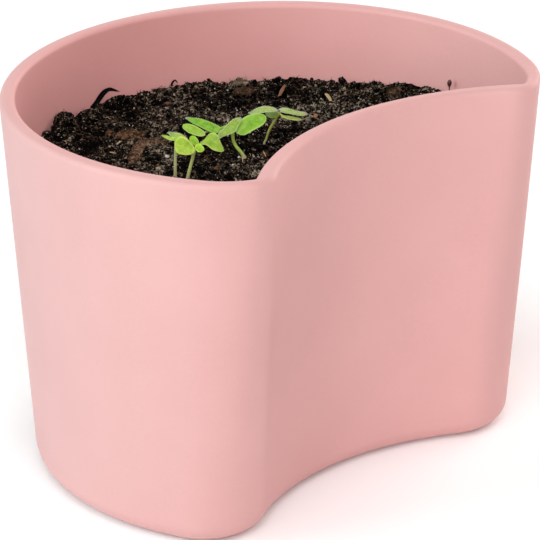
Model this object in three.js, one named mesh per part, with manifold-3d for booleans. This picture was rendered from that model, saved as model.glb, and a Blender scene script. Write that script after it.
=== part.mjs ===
// Seed grow kit: a moulded plastic pot with one scooped side, filled with potting
// compost in which four young seedlings grow among crumbs, chips and bits of bark.
// Millimetres, +Z up. The origin is on the ground under the middle of the pot's
// bounding box. The scoop faces -Y and the plane X = 0 is the pot's mirror plane.
import * as THREE from "three";
import { mergeVertices } from "three/addons/utils/BufferGeometryUtils.js";
import Module from "manifold-3d";

const wasm = await Module();
wasm.setup();

// ---- Driving dimensions of the pot
const POT_HEIGHT = 118.25;
const ROUND_RADIUS = 82.5; // round side, measured at the rim
const DRAFT = 0.0635; // inward slope of every wall, mm per mm
const WALL = 4.72; // round side
// The scoop and the two corners, or tips, where the round side turns into it. Each tip
// is a wide arc and then a tight one, with `turn` radians of the wide one. The outside
// and the hollow change evenly from the foot to the rim, so that the hollow ends in
// sharp corners at the rim and in soft ones at the floor.
const OUTSIDE = {
  foot: { scoop: 77.18, distance: 112.14, wide: 16.4, tight: 19.6, turn: 0.527 },
  rim: { scoop: 77.18, distance: 112.14, wide: 36.0, tight: 9.6, turn: 0.548 },
};
const HOLLOW = {
  foot: { scoop: 81.9, distance: 112.14, wide: 12.0, tight: 14.0, turn: 0.527 },
  rim: { scoop: 88.04, distance: 118.95, wide: 22.8, tight: 1.6, turn: 0.563 },
};
const RIM_OUTER_ROUND = 1.9;
const RIM_INNER_ROUND = 1.5;
const FOOT_ROUND = 6.6; // bottom outer edge
const FOOT_RING = 7.6; // flat width of the ring that the pot stands on
const RECESS = 1.2; // the underside inside that ring
const FLOOR_TOP = 5.2;
const FLOOR_ROUND = 3.4;
const CENTRE_Y = -14.205; // the round side's centre, so that the box is centred

// ---- Driving dimensions of the planting
const GAP = 0.35; // between pieces that touch
const SOIL_BOTTOM = FLOOR_TOP + GAP;
const SOIL_LEVEL = 93.4;
const ROOT_DEPTH = 24;
const ROOT_HOLE_RADIUS = 1.05;
const STEM_RADIUS = 0.5;
const LEAF_THICKNESS = 0.42;

const PINK = 0xe6a9a4;
const group = new THREE.Group();
group.name = "seed_grow_kit";

// ---- Plan outline, anticlockwise from above: round side, left tip, scoop, right tip.
const N_ROUND = 54,
  N_WIDE = 5,
  N_TIGHT = 5,
  N_SCOOP = 26;
const polar = (r, a) => new THREE.Vector2(r * Math.cos(a), r * Math.sin(a));
// Centres of a tip's two arcs, on the right, if the wide one starts at angle -b.
function tipCentres(round, tip, b) {
  const wide = polar(round - tip.wide, -b);
  const tight = wide.clone().add(polar(tip.wide - tip.tight, -b - tip.turn));
  return { wide, tight };
}
function outline(round, tip) {
  // find b, at which the tight arc touches the scoop
  const scoop = new THREE.Vector2(0, -tip.distance);
  const miss = (b) =>
    tipCentres(round, tip, b).tight.distanceTo(scoop) - tip.scoop - tip.tight;
  let low = 0.0,
    high = Math.PI / 2;
  // b counts down from the +X axis, and a larger b brings the tip nearer the scoop
  for (let k = 0; k < 60; k++) {
    const b = (low + high) / 2;
    if (miss(b) > 0) low = b;
    else high = b;
  }
  const b = low;
  const { wide, tight } = tipCentres(round, tip, b);
  const toScoop = scoop.clone().sub(tight).angle(); // 0 to 2 pi
  const scoopTo = tight.clone().sub(scoop).angle();
  const points = [];
  const arc = (c, r, from, to, count) => {
    for (let i = 0; i < count; i++)
      points.push(c.clone().add(polar(r, from + ((to - from) * i) / count)));
  };
  const left = (v) => new THREE.Vector2(-v.x, v.y);
  const origin = new THREE.Vector2(0, 0);
  const turned = -b - tip.turn; // where the right tip's wide arc meets its tight one
  arc(origin, round, -b, Math.PI + b, N_ROUND);
  arc(left(wide), tip.wide, Math.PI + b, Math.PI - turned, N_WIDE);
  arc(left(tight), tip.tight, Math.PI - turned, 3 * Math.PI - toScoop, N_TIGHT);
  arc(scoop, tip.scoop, Math.PI - scoopTo, scoopTo, N_SCOOP);
  arc(tight, tip.tight, toScoop, 2 * Math.PI + turned, N_TIGHT);
  arc(wide, tip.wide, 2 * Math.PI + turned, 2 * Math.PI - b, N_WIDE);
  return points.map((p) => new THREE.Vector2(p.x, p.y + CENTRE_Y));
}
function outlineAt(shape, round, z, inset) {
  const w = z / POT_HEIGHT,
    o = DRAFT * (POT_HEIGHT - z) + inset,
    mix = (key) => shape.rim[key] * w + shape.foot[key] * (1 - w);
  return outline(round - o, {
    scoop: mix("scoop") + o,
    distance: mix("distance"),
    wide: mix("wide") - inset,
    tight: Math.max(0.3, mix("tight") - inset),
    turn: mix("turn"),
  });
}
// Outlines of the outer wall and of the hollow at height z, moved inwards by `inset`.
const outerOutline = (z, inset) => outlineAt(OUTSIDE, ROUND_RADIUS, z, inset);
const innerOutline = (z, inset) => outlineAt(HOLLOW, ROUND_RADIUS - WALL, z, inset);

// ---- Closed mesh from a stack of rings with equal point counts. The first ring is
// capped facing down and the last one facing up, or closed on a centre point.
function loft(rings, topPoint = null) {
  const n = rings[0].length,
    positions = [],
    index = [];
  for (const ring of rings) for (const p of ring) positions.push(p.x, p.y, p.z);
  for (let r = 0; r + 1 < rings.length; r++)
    for (let i = 0; i < n; i++) {
      const j = (i + 1) % n,
        a = r * n + i,
        b = r * n + j,
        c = (r + 1) * n + j,
        d = (r + 1) * n + i;
      index.push(a, b, c, a, c, d);
    }
  const flat = (ring) => ring.map((p) => new THREE.Vector2(p.x, p.y));
  for (const [a, b, c] of THREE.ShapeUtils.triangulateShape(flat(rings[0]), []))
    index.push(a, c, b);
  const last = (rings.length - 1) * n;
  if (topPoint) {
    positions.push(topPoint.x, topPoint.y, topPoint.z);
    const top = rings.length * n;
    for (let i = 0; i < n; i++) index.push(last + i, last + ((i + 1) % n), top);
  } else
    for (const [a, b, c] of THREE.ShapeUtils.triangulateShape(
      flat(rings[rings.length - 1]),
      [],
    ))
      index.push(last + a, last + b, last + c);
  const g = new THREE.BufferGeometry();
  g.setAttribute("position", new THREE.Float32BufferAttribute(positions, 3));
  g.setIndex(index);
  return g;
}
const lift = (points, z) => points.map((p) => new THREE.Vector3(p.x, p.y, z));

function solid(geometry) {
  const g = geometry.clone();
  for (const key of Object.keys(g.attributes))
    if (key !== "position") g.deleteAttribute(key);
  const merged = mergeVertices(g, 1e-4);
  return new wasm.Manifold(
    new wasm.Mesh({
      numProp: 3,
      vertProperties: new Float32Array(merged.attributes.position.array),
      triVerts: new Uint32Array(merged.index.array),
    }),
  );
}
function geometryOf(manifold) {
  const m = manifold.getMesh(),
    g = new THREE.BufferGeometry();
  const positions = new Float32Array(m.numVert * 3);
  for (let i = 0; i < m.numVert; i++)
    positions.set(
      m.vertProperties.subarray(i * m.numProp, i * m.numProp + 3),
      i * 3,
    );
  g.setAttribute("position", new THREE.BufferAttribute(positions, 3));
  g.setIndex(new THREE.BufferAttribute(new Uint32Array(m.triVerts), 1));
  return g;
}
// The largest body of a solid that a cut may have split.
const mainBody = (manifold) =>
  manifold.decompose().sort((a, b) => b.volume() - a.volume())[0];
// Adds a mesh whose geometry is given in the pot's frame. `at` becomes its position,
// inside a parent that may itself have been moved.
function add(name, geometry, color, roughness, at = null, parent = group) {
  const origin = at ? new THREE.Vector3(...at) : new THREE.Vector3();
  geometry.translate(-origin.x, -origin.y, -origin.z);
  geometry.computeVertexNormals();
  const mesh = new THREE.Mesh(
    geometry,
    new THREE.MeshStandardMaterial({ color, roughness, metalness: 0 }),
  );
  mesh.name = name;
  mesh.position.copy(origin).sub(parent.position);
  parent.add(mesh);
  return mesh;
}

// ---- The pot: one moulded shell, from the recess under the floor, round the foot,
// up the outside, over the rim and down the inside to the floor.
function potShell() {
  const rings = [];
  const outer = (z, inset) => rings.push(lift(outerOutline(z, inset), z));
  const inner = (z, inset) => rings.push(lift(innerOutline(z, inset), z));
  const ringInside = FOOT_ROUND + FOOT_RING;
  rings.push(lift(outerOutline(0, ringInside + 0.8), RECESS));
  rings.push(lift(outerOutline(0, ringInside), 0));
  for (let k = 0; k <= 4; k++) {
    const t = (k / 4) * (Math.PI / 2);
    outer(FOOT_ROUND * (1 - Math.cos(t)), FOOT_ROUND * (1 - Math.sin(t)));
  }
  for (const z of [45, 85]) outer(z, 0);
  for (let k = 0; k <= 3; k++) {
    const t = (k / 3) * (Math.PI / 2);
    outer(
      POT_HEIGHT - RIM_OUTER_ROUND * (1 - Math.sin(t)),
      RIM_OUTER_ROUND * (1 - Math.cos(t)),
    );
  }
  for (let k = 0; k <= 2; k++) {
    const t = (k / 2) * (Math.PI / 2);
    inner(
      POT_HEIGHT - RIM_INNER_ROUND * (1 - Math.cos(t)),
      -RIM_INNER_ROUND * (1 - Math.sin(t)),
    );
  }
  for (const z of [85, 45]) inner(z, 0);
  for (let k = 0; k <= 3; k++) {
    const t = (k / 3) * (Math.PI / 2);
    inner(
      FLOOR_TOP + FLOOR_ROUND * (1 - Math.sin(t)),
      FLOOR_ROUND * (1 - Math.cos(t)),
    );
  }
  return loft(rings);
}
add("pot_shell", potShell(), PINK, 0.62);

// ---- Compost surface: a gentle mound with hollows along the wall, quiet where the
// seedlings stand. Each bump is x, y, height, spread.
const BUMPS = [
  [-22, 57, 1.3, 4.5],
  [2, 61, 2.1, 4],
  [33, 53, 0.6, 5],
  [40, 50, -1.5, 3.5],
  [50, 41, -1, 5],
  [59, 32, -0.9, 6],
  [68, 20, -2.4, 6],
  [72, 8, 0.4, 6],
  [71, -8, 1.6, 8],
  [-35, 52, 1.6, 5],
  [19, 59, 0.8, 5],
  [-50, 21, 0.8, 9],
  [-60, -9, -0.8, 10],
  [40, -19, 0.7, 9],
  [20, 26, 0.6, 7],
  [-15, 31, -0.6, 8],
];
function soilHeight(x, y) {
  let z =
    SOIL_LEVEL +
    0.018 * x +
    Math.exp(-((x + 10) ** 2 + (y + 1) ** 2) / (2 * 30 * 30));
  const rough =
    0.55 * Math.sin(0.16 * x + 0.6) * Math.cos(0.19 * y - 0.4) +
    0.4 * Math.sin(0.37 * x - 1.1 + 0.17 * y) +
    0.3 * Math.cos(0.51 * y + 0.23 * x);
  const quiet = Math.exp(
    -((x + 10) ** 2 / (2 * 20 * 20) + (y + 3) ** 2 / (2 * 8 * 8)),
  );
  z += rough * (1 - quiet);
  for (const [bx, by, h, s] of BUMPS)
    z += h * Math.exp(-((x - bx) ** 2 + (y - by) ** 2) / (2 * s * s));
  return z;
}
const SOIL_CENTRE = new THREE.Vector2(0, 28);
function soilBlock() {
  const rings = [];
  for (let k = 0; k <= 2; k++) {
    const t = (k / 2) * (Math.PI / 2);
    const z = SOIL_BOTTOM + FLOOR_ROUND * (1 - Math.cos(t));
    rings.push(
      lift(innerOutline(z, FLOOR_ROUND * (1 - Math.sin(t)) + GAP), z),
    );
  }
  for (const z of [50]) rings.push(lift(innerOutline(z, GAP), z));
  const edge = innerOutline(SOIL_LEVEL, GAP);
  for (const f of [
    1, 0.97, 0.92, 0.85, 0.77, 0.68, 0.59, 0.5, 0.41, 0.32, 0.22, 0.11,
  ])
    rings.push(
      edge.map((p) => {
        const x = SOIL_CENTRE.x + (p.x - SOIL_CENTRE.x) * f,
          y = SOIL_CENTRE.y + (p.y - SOIL_CENTRE.y) * f;
        return new THREE.Vector3(x, y, soilHeight(x, y));
      }),
    );
  return loft(
    rings,
    new THREE.Vector3(
      SOIL_CENTRE.x,
      SOIL_CENTRE.y,
      soilHeight(SOIL_CENTRE.x, SOIL_CENTRE.y),
    ),
  );
}

// ---- Stems: centre line from the compost to the crown where the leaves meet, in
// the pot's frame. Each has a straight tap root below it, in a hole of its own.
const STEMS = {
  1: [ [-28.7, -0.9, 94.0], [-28.7, -1.1, 99.1], [-28.6, -1.3, 103.3], [-28.6, -1.4, 105.4] ],
  2: [ [-26.8, -4.4, 93.8], [-26.3, -5.1, 97.3], [-25.9, -5.8, 100.2], [-25.7, -6.3, 102.4] ],
  3: [ [-4.0, -4.9, 94.3], [-4.5, -4.3, 95.6], [-5.2, -3.4, 97.0], [-5.7, -2.6, 98.3], [-6.0, -2.2, 100.0], [-5.9, -2.1, 101.9], [-5.2, -2.5, 104.2] ],
  4: [ [8.1, -1.0, 94.7], [8.7, -1.3, 95.9], [9.3, -1.7, 98.1], [10.1, -2.3, 100.1], [11.1, -3.0, 102.1], [12.0, -3.6, 104.1] ],
};
function tube(path, radii, sides) {
  const rings = [];
  for (let i = 0; i < path.length; i++) {
    const p = path[i],
      before = path[Math.max(0, i - 1)],
      after = path[Math.min(path.length - 1, i + 1)];
    const t = after.clone().sub(before).normalize();
    const u = new THREE.Vector3(1, 0, 0);
    u.sub(t.clone().multiplyScalar(u.dot(t))).normalize();
    const v = new THREE.Vector3().crossVectors(t, u);
    const ring = [];
    for (let k = 0; k < sides; k++) {
      const a = (k / sides) * 2 * Math.PI;
      ring.push(
        p
          .clone()
          .addScaledVector(u, Math.cos(a) * radii[i])
          .addScaledVector(v, Math.sin(a) * radii[i]),
      );
    }
    rings.push(ring);
  }
  return loft(rings);
}
function stemAndRoot(points) {
  const above = new THREE.CatmullRomCurve3(
    points.map((p) => new THREE.Vector3(...p)),
  ).getPoints(7);
  const foot = above[0],
    path = [],
    radii = [];
  for (const [drop, r] of [
    [ROOT_DEPTH, 0.16],
    [ROOT_DEPTH * 0.6, 0.28],
    [ROOT_DEPTH * 0.25, 0.4],
    [0.6, 0.48],
  ]) {
    path.push(new THREE.Vector3(foot.x, foot.y, foot.z - drop));
    radii.push(r);
  }
  above.forEach((p, i) => {
    path.push(p);
    radii.push(STEM_RADIUS - (0.08 * i) / (above.length - 1));
  });
  return tube(path, radii, 8);
}

const soilRaw = solid(soilBlock());
let soil = soilRaw;
for (const points of Object.values(STEMS)) {
  const hole = new THREE.CylinderGeometry(
    ROOT_HOLE_RADIUS,
    ROOT_HOLE_RADIUS,
    ROOT_DEPTH + 12,
    8,
  );
  hole.rotateX(Math.PI / 2);
  // the hole runs from 3 mm under the root's end to above the surface
  hole.translate(
    points[0][0],
    points[0][1],
    points[0][2] - ROOT_DEPTH - 3 + (ROOT_DEPTH + 12) / 2,
  );
  soil = soil.subtract(solid(hole));
}
add("potting_compost", geometryOf(soil), 0x241a14, 0.95);

// ---- Leaves: base, tip, the way the upper face looks, arch along the length, cup
// across it, and how far the two margins stand from the line between base and tip at
// thirteen stations, which lie closer together towards the ends.
const LEAVES = {
  1: [
    ["cotyledon_left", [-27.82, -2.41, 105.50], [-29.99, 3.50, 106.09], [-0.32, -0.21, 0.92], 0.25, 0.20,
     [-0.15, -0.15, -0.18, -0.21, -0.08, 0.04, -0.04, -0.12, -0.17, -0.15, -0.07, -0.02, -0.00],
     [-0.11, -0.01, 0.36, 0.75, 1.06, 1.27, 1.30, 1.14, 0.86, 0.53, 0.24, 0.06, 0.01]],
    ["true_leaf_back", [-26.53, -2.99, 104.99], [-28.04, 2.66, 106.56], [-0.31, -0.33, 0.89], 0.25, 0.20,
     [-1.29, -1.31, -1.38, -1.50, -1.55, -1.53, -1.40, -1.14, -0.91, -0.74, -0.61, -0.47, -0.04],
     [-1.25, -1.16, -0.80, -0.34, 0.23, 0.85, 1.02, 0.92, 0.73, 0.50, 0.27, 0.13, 0.10]],
    ["cotyledon_right", [-27.85, -1.36, 105.10], [-25.25, -3.49, 104.94], [-0.47, -0.62, 0.62], 0.20, 0.15,
     [0.19, 0.12, -0.15, -0.36, -0.45, -0.55, -0.52, -0.44, -0.37, -0.24, -0.09, 0.00, 0.03],
     [0.22, 0.27, 0.44, 0.71, 0.98, 1.02, 1.06, 0.88, 0.71, 0.49, 0.24, 0.09, 0.05]],
  ],
  2: [
    ["cotyledon_left", [-26.03, -7.32, 103.63], [-30.29, -2.78, 104.63], [-0.64, -0.68, 0.36], 0.15, 0.25,
     [0.34, 0.19, -0.37, -0.94, -1.55, -2.17, -2.62, -2.96, -3.00, -2.79, -2.21, -1.25, -0.96],
     [0.55, 1.09, 1.49, 1.88, 2.08, 2.31, 2.40, 2.39, 2.35, 2.02, 1.37, 0.65, -0.10]],
    ["leaf_bud_upper", [-24.55, -6.13, 103.68], [-24.26, -3.72, 106.31], [-0.47, -0.62, 0.62], 0.20, 0.20,
     [-0.49, -0.57, -0.87, -1.10, -1.16, -1.20, -1.13, -1.05, -0.91, -0.76, -0.52, -0.37, -0.33],
     [-0.39, -0.15, 0.31, 0.52, 0.77, 0.89, 1.02, 1.14, 1.09, 0.96, 0.69, 0.48, 0.43]],
    ["leaf_bud_lower", [-25.88, -7.03, 104.37], [-24.69, -9.30, 102.99], [-0.34, -0.61, 0.71], 0.20, 0.20,
     [-0.17, -0.23, -0.45, -0.78, -1.00, -1.22, -1.31, -1.34, -1.12, -0.86, -0.46, -0.20, 0.31],
     [0.67, 0.71, 0.86, 1.10, 1.24, 1.24, 1.23, 1.15, 1.07, 0.90, 0.71, 0.59, 0.56]],
    ["cotyledon_right", [-23.49, -6.05, 104.06], [-18.95, -12.02, 102.22], [-0.37, -0.52, 0.77], 0.30, 0.30,
     [0.17, 0.12, -0.05, 0.04, 0.18, -0.18, -0.72, -0.93, -0.88, -0.74, -0.55, -0.16, 0.08],
     [0.24, 0.42, 1.12, 2.11, 4.10, 4.78, 4.72, 4.04, 2.77, 1.80, 1.10, 0.43, 0.22]],
  ],
  3: [
    ["true_leaf_left", [-9.38, -0.94, 103.13], [-13.71, 10.38, 105.41], [-0.28, -0.29, 0.91], 0.50, 0.30,
     [-0.31, -0.42, -0.79, -1.02, -1.13, -1.20, -1.23, -1.17, -0.98, -0.72, -0.51, -0.37, -0.05],
     [0.58, 0.85, 1.68, 2.37, 2.45, 2.38, 2.15, 1.79, 1.45, 0.94, 0.49, 0.20, 0.12]],
    ["cotyledon_left", [-14.14, 1.16, 102.78], [-17.19, 8.28, 104.36], [-0.31, -0.33, 0.89], 0.30, 0.30,
     [0.31, 0.05, -0.52, -0.74, -0.94, -1.15, -1.30, -1.38, -1.36, -1.27, -1.03, -0.81, -0.75],
     [0.49, 0.82, 1.34, 1.82, 2.03, 2.26, 2.14, 1.97, 1.58, 1.17, 0.73, 0.13, -0.28]],
    ["true_leaf_front", [-4.21, -3.94, 106.51], [-13.81, -3.91, 102.80], [-0.31, -0.52, 0.80], 0.40, 0.30,
     [-0.41, -0.52, -0.90, -1.16, -1.33, -1.29, -1.22, -1.13, -1.05, -0.99, -0.75, -0.21, 0.07],
     [0.07, 0.31, 0.62, 1.01, 1.37, 1.85, 2.27, 1.95, 1.39, 0.85, 0.63, 0.49, 0.27]],
    ["cotyledon_right", [-6.93, -4.60, 102.97], [2.40, -8.04, 106.51], [-0.44, -0.34, 0.83], 0.35, 0.30,
     [-0.76, -0.98, -1.76, -2.56, -2.68, -2.71, -2.69, -2.60, -2.41, -1.91, -1.24, -0.41, 0.12],
     [-0.21, 0.60, 1.08, 1.80, 2.46, 3.04, 3.16, 2.97, 2.57, 2.09, 1.52, 0.77, 0.40]],
  ],
  4: [
    ["true_leaf_left", [11.04, -4.17, 104.97], [3.89, 1.17, 104.75], [-0.15, -0.16, 0.98], 0.80, 0.20,
     [-0.41, -0.63, -1.18, -1.51, -1.69, -1.77, -1.76, -1.57, -1.20, -0.69, -0.30, -0.16, -0.12],
     [-0.28, -0.08, 0.47, 0.80, 1.19, 1.52, 1.72, 1.76, 1.54, 1.22, 0.84, 0.15, -0.05]],
    ["cotyledon_left", [12.01, -3.64, 103.60], [10.82, 1.63, 102.54], [-0.27, 0.13, 0.95], 0.10, 0.15,
     [0.98, 0.10, -0.19, -0.65, -1.03, -1.13, -1.21, -1.15, -1.10, -1.05, -0.77, -0.59, -0.54],
     [1.77, 1.87, 2.24, 2.83, 2.69, 2.52, 2.12, 1.58, 1.02, 0.38, -0.11, -0.42, -0.50]],
    ["true_leaf_right", [11.74, -4.02, 104.98], [16.37, -11.38, 104.49], [-0.15, -0.16, 0.98], 0.50, 0.20,
     [0.40, 0.16, -0.74, -1.36, -1.78, -1.98, -2.12, -2.14, -2.12, -1.83, -1.53, -0.85, -0.40],
     [0.53, 0.73, 1.34, 1.19, 0.99, 0.67, 0.37, 0.15, 0.21, 0.42, 0.40, 0.05, -0.19]],
    ["cotyledon_right", [11.94, -4.32, 103.24], [16.26, -9.09, 102.21], [0.08, -0.14, 0.99], 0.15, 0.10,
     [0.25, -0.02, -0.77, -1.23, -1.68, -2.05, -2.18, -2.14, -1.91, -1.54, -0.97, -0.17, 0.03],
     [0.33, 0.33, 0.34, 0.35, 0.37, 0.40, 0.44, 0.50, 0.55, 0.55, 0.55, 0.24, 0.13]],
  ],
};
const STATIONS = [0, 2, 3, 4, 5, 6, 7, 8, 9, 10, 12];
// `grow` makes the blade larger all round, to cut its neighbours clear of it.
function leaf([base, tip, facing, arch, cup, low, high], grow = 0) {
  const NU = STATIONS.length - 1,
    NV = 4,
    b = new THREE.Vector3(...base),
    t = new THREE.Vector3(...tip);
  const along = t.clone().sub(b),
    n = new THREE.Vector3(...facing).normalize();
  const reach = along.clone().setLength(grow);
  b.sub(reach);
  along.addScaledVector(reach, 2);
  const side = new THREE.Vector3().crossVectors(n, along).normalize();
  const up = new THREE.Vector3().crossVectors(along, side).normalize();
  const halves = STATIONS.map((k) =>
    Math.max(0.28, (high[k] - low[k]) / 2 + grow),
  );
  const widest = Math.max(...halves);
  const positions = [],
    index = [];
  const at = (layer, i, j) => (layer * (NU + 1) + i) * (NV + 1) + j;
  for (const layer of [0, 1])
    for (let i = 0; i <= NU; i++)
      for (let j = 0; j <= NV; j++) {
        const k = STATIONS[i],
          u = 0.5 - 0.5 * Math.cos((Math.PI * k) / 12),
          v = (2 * j) / NV - 1,
          half = halves[i];
        const thick = LEAF_THICKNESS * (Math.abs(v) === 1 ? 0.5 : 1) + 2 * grow;
        const p = b
          .clone()
          .addScaledVector(along, u)
          .addScaledVector(side, (high[k] + low[k]) / 2 + v * half)
          .addScaledVector(
            up,
            arch * Math.sin(Math.PI * u) +
              cup * v * v * (half / widest) +
              (layer ? 0.5 : -0.5) * thick,
          );
        positions.push(p.x, p.y, p.z);
      }
  for (let i = 0; i < NU; i++)
    for (let j = 0; j < NV; j++) {
      const quad = (l) => [
        at(l, i, j),
        at(l, i + 1, j),
        at(l, i + 1, j + 1),
        at(l, i, j + 1),
      ];
      let [p, q, r, s] = quad(1);
      index.push(p, q, r, p, r, s);
      [p, q, r, s] = quad(0);
      index.push(p, r, q, p, s, r);
    }
  const rim = [];
  for (let i = 0; i < NU; i++) rim.push([i, 0]);
  for (let j = 0; j < NV; j++) rim.push([NU, j]);
  for (let i = NU; i > 0; i--) rim.push([i, NV]);
  for (let j = NV; j > 0; j--) rim.push([0, j]);
  rim.forEach(([i, j], k) => {
    const [i2, j2] = rim[(k + 1) % rim.length];
    index.push(
      at(0, i, j),
      at(0, i2, j2),
      at(1, i2, j2),
      at(0, i, j),
      at(1, i2, j2),
      at(1, i, j),
    );
  });
  const g = new THREE.BufferGeometry();
  g.setAttribute("position", new THREE.Float32BufferAttribute(positions, 3));
  g.setIndex(index);
  return g;
}
// A stem with the room that a leaf keeps to it.
function stemRoom(points) {
  const path = new THREE.CatmullRomCurve3(
    points.map((p) => new THREE.Vector3(...p)),
  ).getPoints(7);
  const end = path.at(-1).clone();
  end.addScaledVector(end.clone().sub(path.at(-2)).normalize(), GAP);
  path.push(end);
  return solid(tube(path, path.map(() => STEM_RADIUS + GAP), 8));
}
for (const [k, points] of Object.entries(STEMS)) {
  const seedling = new THREE.Group();
  seedling.name = `seedling_${k}`;
  seedling.position.set(...points[0]);
  group.add(seedling);
  add(`seedling_${k}_stem_root`, stemAndRoot(points), 0xb9c46a, 0.55, points[0], seedling);
  // each leaf keeps clear of the stem and of the leaves above it in the list
  const rooms = [stemRoom(points)];
  for (const [name, ...shape] of LEAVES[k]) {
    let blade = solid(leaf(shape));
    for (const room of rooms) blade = blade.subtract(room);
    rooms.push(solid(leaf(shape, GAP)));
    add(`seedling_${k}_${name}`, geometryOf(mainBody(blade)), 0x7fb53a, 0.5, shape[0], seedling);
  }
}

// ---- Loose matter on the compost. A clod is a rough lump that the compost's own
// surface, raised by the gap, cuts flat underneath.
const raisedSoil = solid(soilBlock().translate(0, 0, GAP));
const insideWall = solid(
  loft([
    lift(innerOutline(SOIL_LEVEL - 12, 2 * GAP), SOIL_LEVEL - 12),
    lift(innerOutline(SOIL_LEVEL + 12, 2 * GAP), SOIL_LEVEL + 12),
  ]),
);
function wobble(seed, x, y, z) {
  return (
    Math.sin(2.1 * x + seed) * Math.cos(1.7 * y - 2 * seed) +
    0.6 * Math.sin(3.3 * z + 1.9 * x + 3 * seed)
  );
}
function clod(x, y, size, turn, seed, sink = 0.25) {
  const g = mergeVertices(
    (() => {
      const s = new THREE.IcosahedronGeometry(1, 2);
      s.deleteAttribute("normal");
      s.deleteAttribute("uv");
      return s;
    })(),
    1e-4,
  );
  const p = g.attributes.position;
  for (let i = 0; i < p.count; i++) {
    const v = new THREE.Vector3().fromBufferAttribute(p, i);
    v.multiplyScalar(1 + 0.11 * wobble(seed, v.x, v.y, v.z));
    p.setXYZ(i, v.x, v.y, v.z);
  }
  g.scale(size[0] / 2, size[1] / 2, size[2] / 2);
  g.rotateZ((turn * Math.PI) / 180);
  g.translate(x, y, soilHeight(x, y) + size[2] * (0.5 - sink));
  return geometryOf(
    mainBody(solid(g).intersect(insideWall).subtract(raisedSoil)),
  );
}
// A chip is a splinter with blunt ends that lies just clear of the surface.
function chip(x, y, length, width, thick, turn, tilt = 0) {
  const g = new THREE.BoxGeometry(length, width, thick, 3, 1, 1);
  const p = g.attributes.position;
  for (let i = 0; i < p.count; i++) {
    const u = Math.abs(p.getX(i)) / (length / 2);
    const f = 1 - 0.45 * u * u;
    p.setXYZ(
      i,
      p.getX(i),
      p.getY(i) * f,
      p.getZ(i) * f + 0.12 * thick * (1 - u * u),
    );
  }
  g.rotateY((-tilt * Math.PI) / 180);
  g.rotateZ((turn * Math.PI) / 180);
  // rest it GAP above the highest compost under its box
  g.computeBoundingBox();
  const { min, max } = g.boundingBox;
  let high = -1e9;
  for (let i = 0; i <= 6; i++)
    for (let j = 0; j <= 6; j++)
      high = Math.max(
        high,
        soilHeight(
          x + min.x + ((max.x - min.x) * i) / 6,
          y + min.y + ((max.y - min.y) * j) / 6,
        ),
      );
  g.translate(x, y, high + GAP - min.z);
  for (const key of ["normal", "uv"]) g.deleteAttribute(key);
  return mergeVertices(g, 1e-4);
}
const DARK = 0x2a1f18,
  BROWN = 0x5b402a;
add("soil_clump_left", clod(-24.1, 55.8, [9.5, 6.5, 5.2], 40, 1.3), DARK, 0.95, [-24.1, 55.8, SOIL_LEVEL]);
add("soil_clump_back", clod(-14.6, 54.0, [8.6, 6.0, 4.4], -20, 2.1), DARK, 0.95, [-14.6, 54.0, SOIL_LEVEL]);
add("brown_clod", clod(-13.1, 36.0, [8.4, 6.0, 3.8], -43, 0.4), BROWN, 0.92, [-13.1, 36.0, SOIL_LEVEL]);
add("brown_ridge", clod(-20.2, 22.8, [19.0, 6.0, 2.8], 14, 3.2), BROWN, 0.92, [-20.2, 22.8, SOIL_LEVEL]);
add("fibre_clod_back", clod(34.5, 39.5, [8.6, 7.0, 3.2], -43, 4.0), BROWN, 0.92, [34.5, 39.5, SOIL_LEVEL]);
add("fibre_clod_right", clod(67.5, 2.2, [7.0, 5.0, 3.0], 40, 5.1), BROWN, 0.92, [67.5, 2.2, SOIL_LEVEL]);
add("soil_crumb_front", clod(1.4, -8.4, [2.6, 2.0, 1.8], 10, 2.7), BROWN, 0.92, [1.4, -8.4, SOIL_LEVEL]);
add("bark_chip", chip(41.9, 26.3, 6.8, 1.0, 0.6, 31, 8), 0x8a5a3c, 0.85, [41.9, 26.3, SOIL_LEVEL]);
add("wood_chip", chip(48.4, 12.2, 3.9, 1.0, 0.5, 70, 14), 0xd9b26a, 0.7, [48.4, 12.2, SOIL_LEVEL]);
add("orange_chip", chip(34.9, 3.9, 1.6, 1.1, 0.7, 25), 0xb5713a, 0.8, [34.9, 3.9, SOIL_LEVEL]);
add("splinter_upper", chip(-23.1, 31.4, 1.7, 0.45, 0.4, 5, 18), 0xcbb48a, 0.8, [-23.1, 31.4, SOIL_LEVEL]);
add("splinter_lower", chip(-28.8, 27.4, 2.0, 0.5, 0.4, -62), 0xcbb48a, 0.8, [-28.8, 27.4, SOIL_LEVEL]);
add("mineral_fleck", chip(73.0, -12.4, 1.2, 0.9, 0.8, 30), 0xefe9df, 0.7, [73.0, -12.4, SOIL_LEVEL]);

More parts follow.
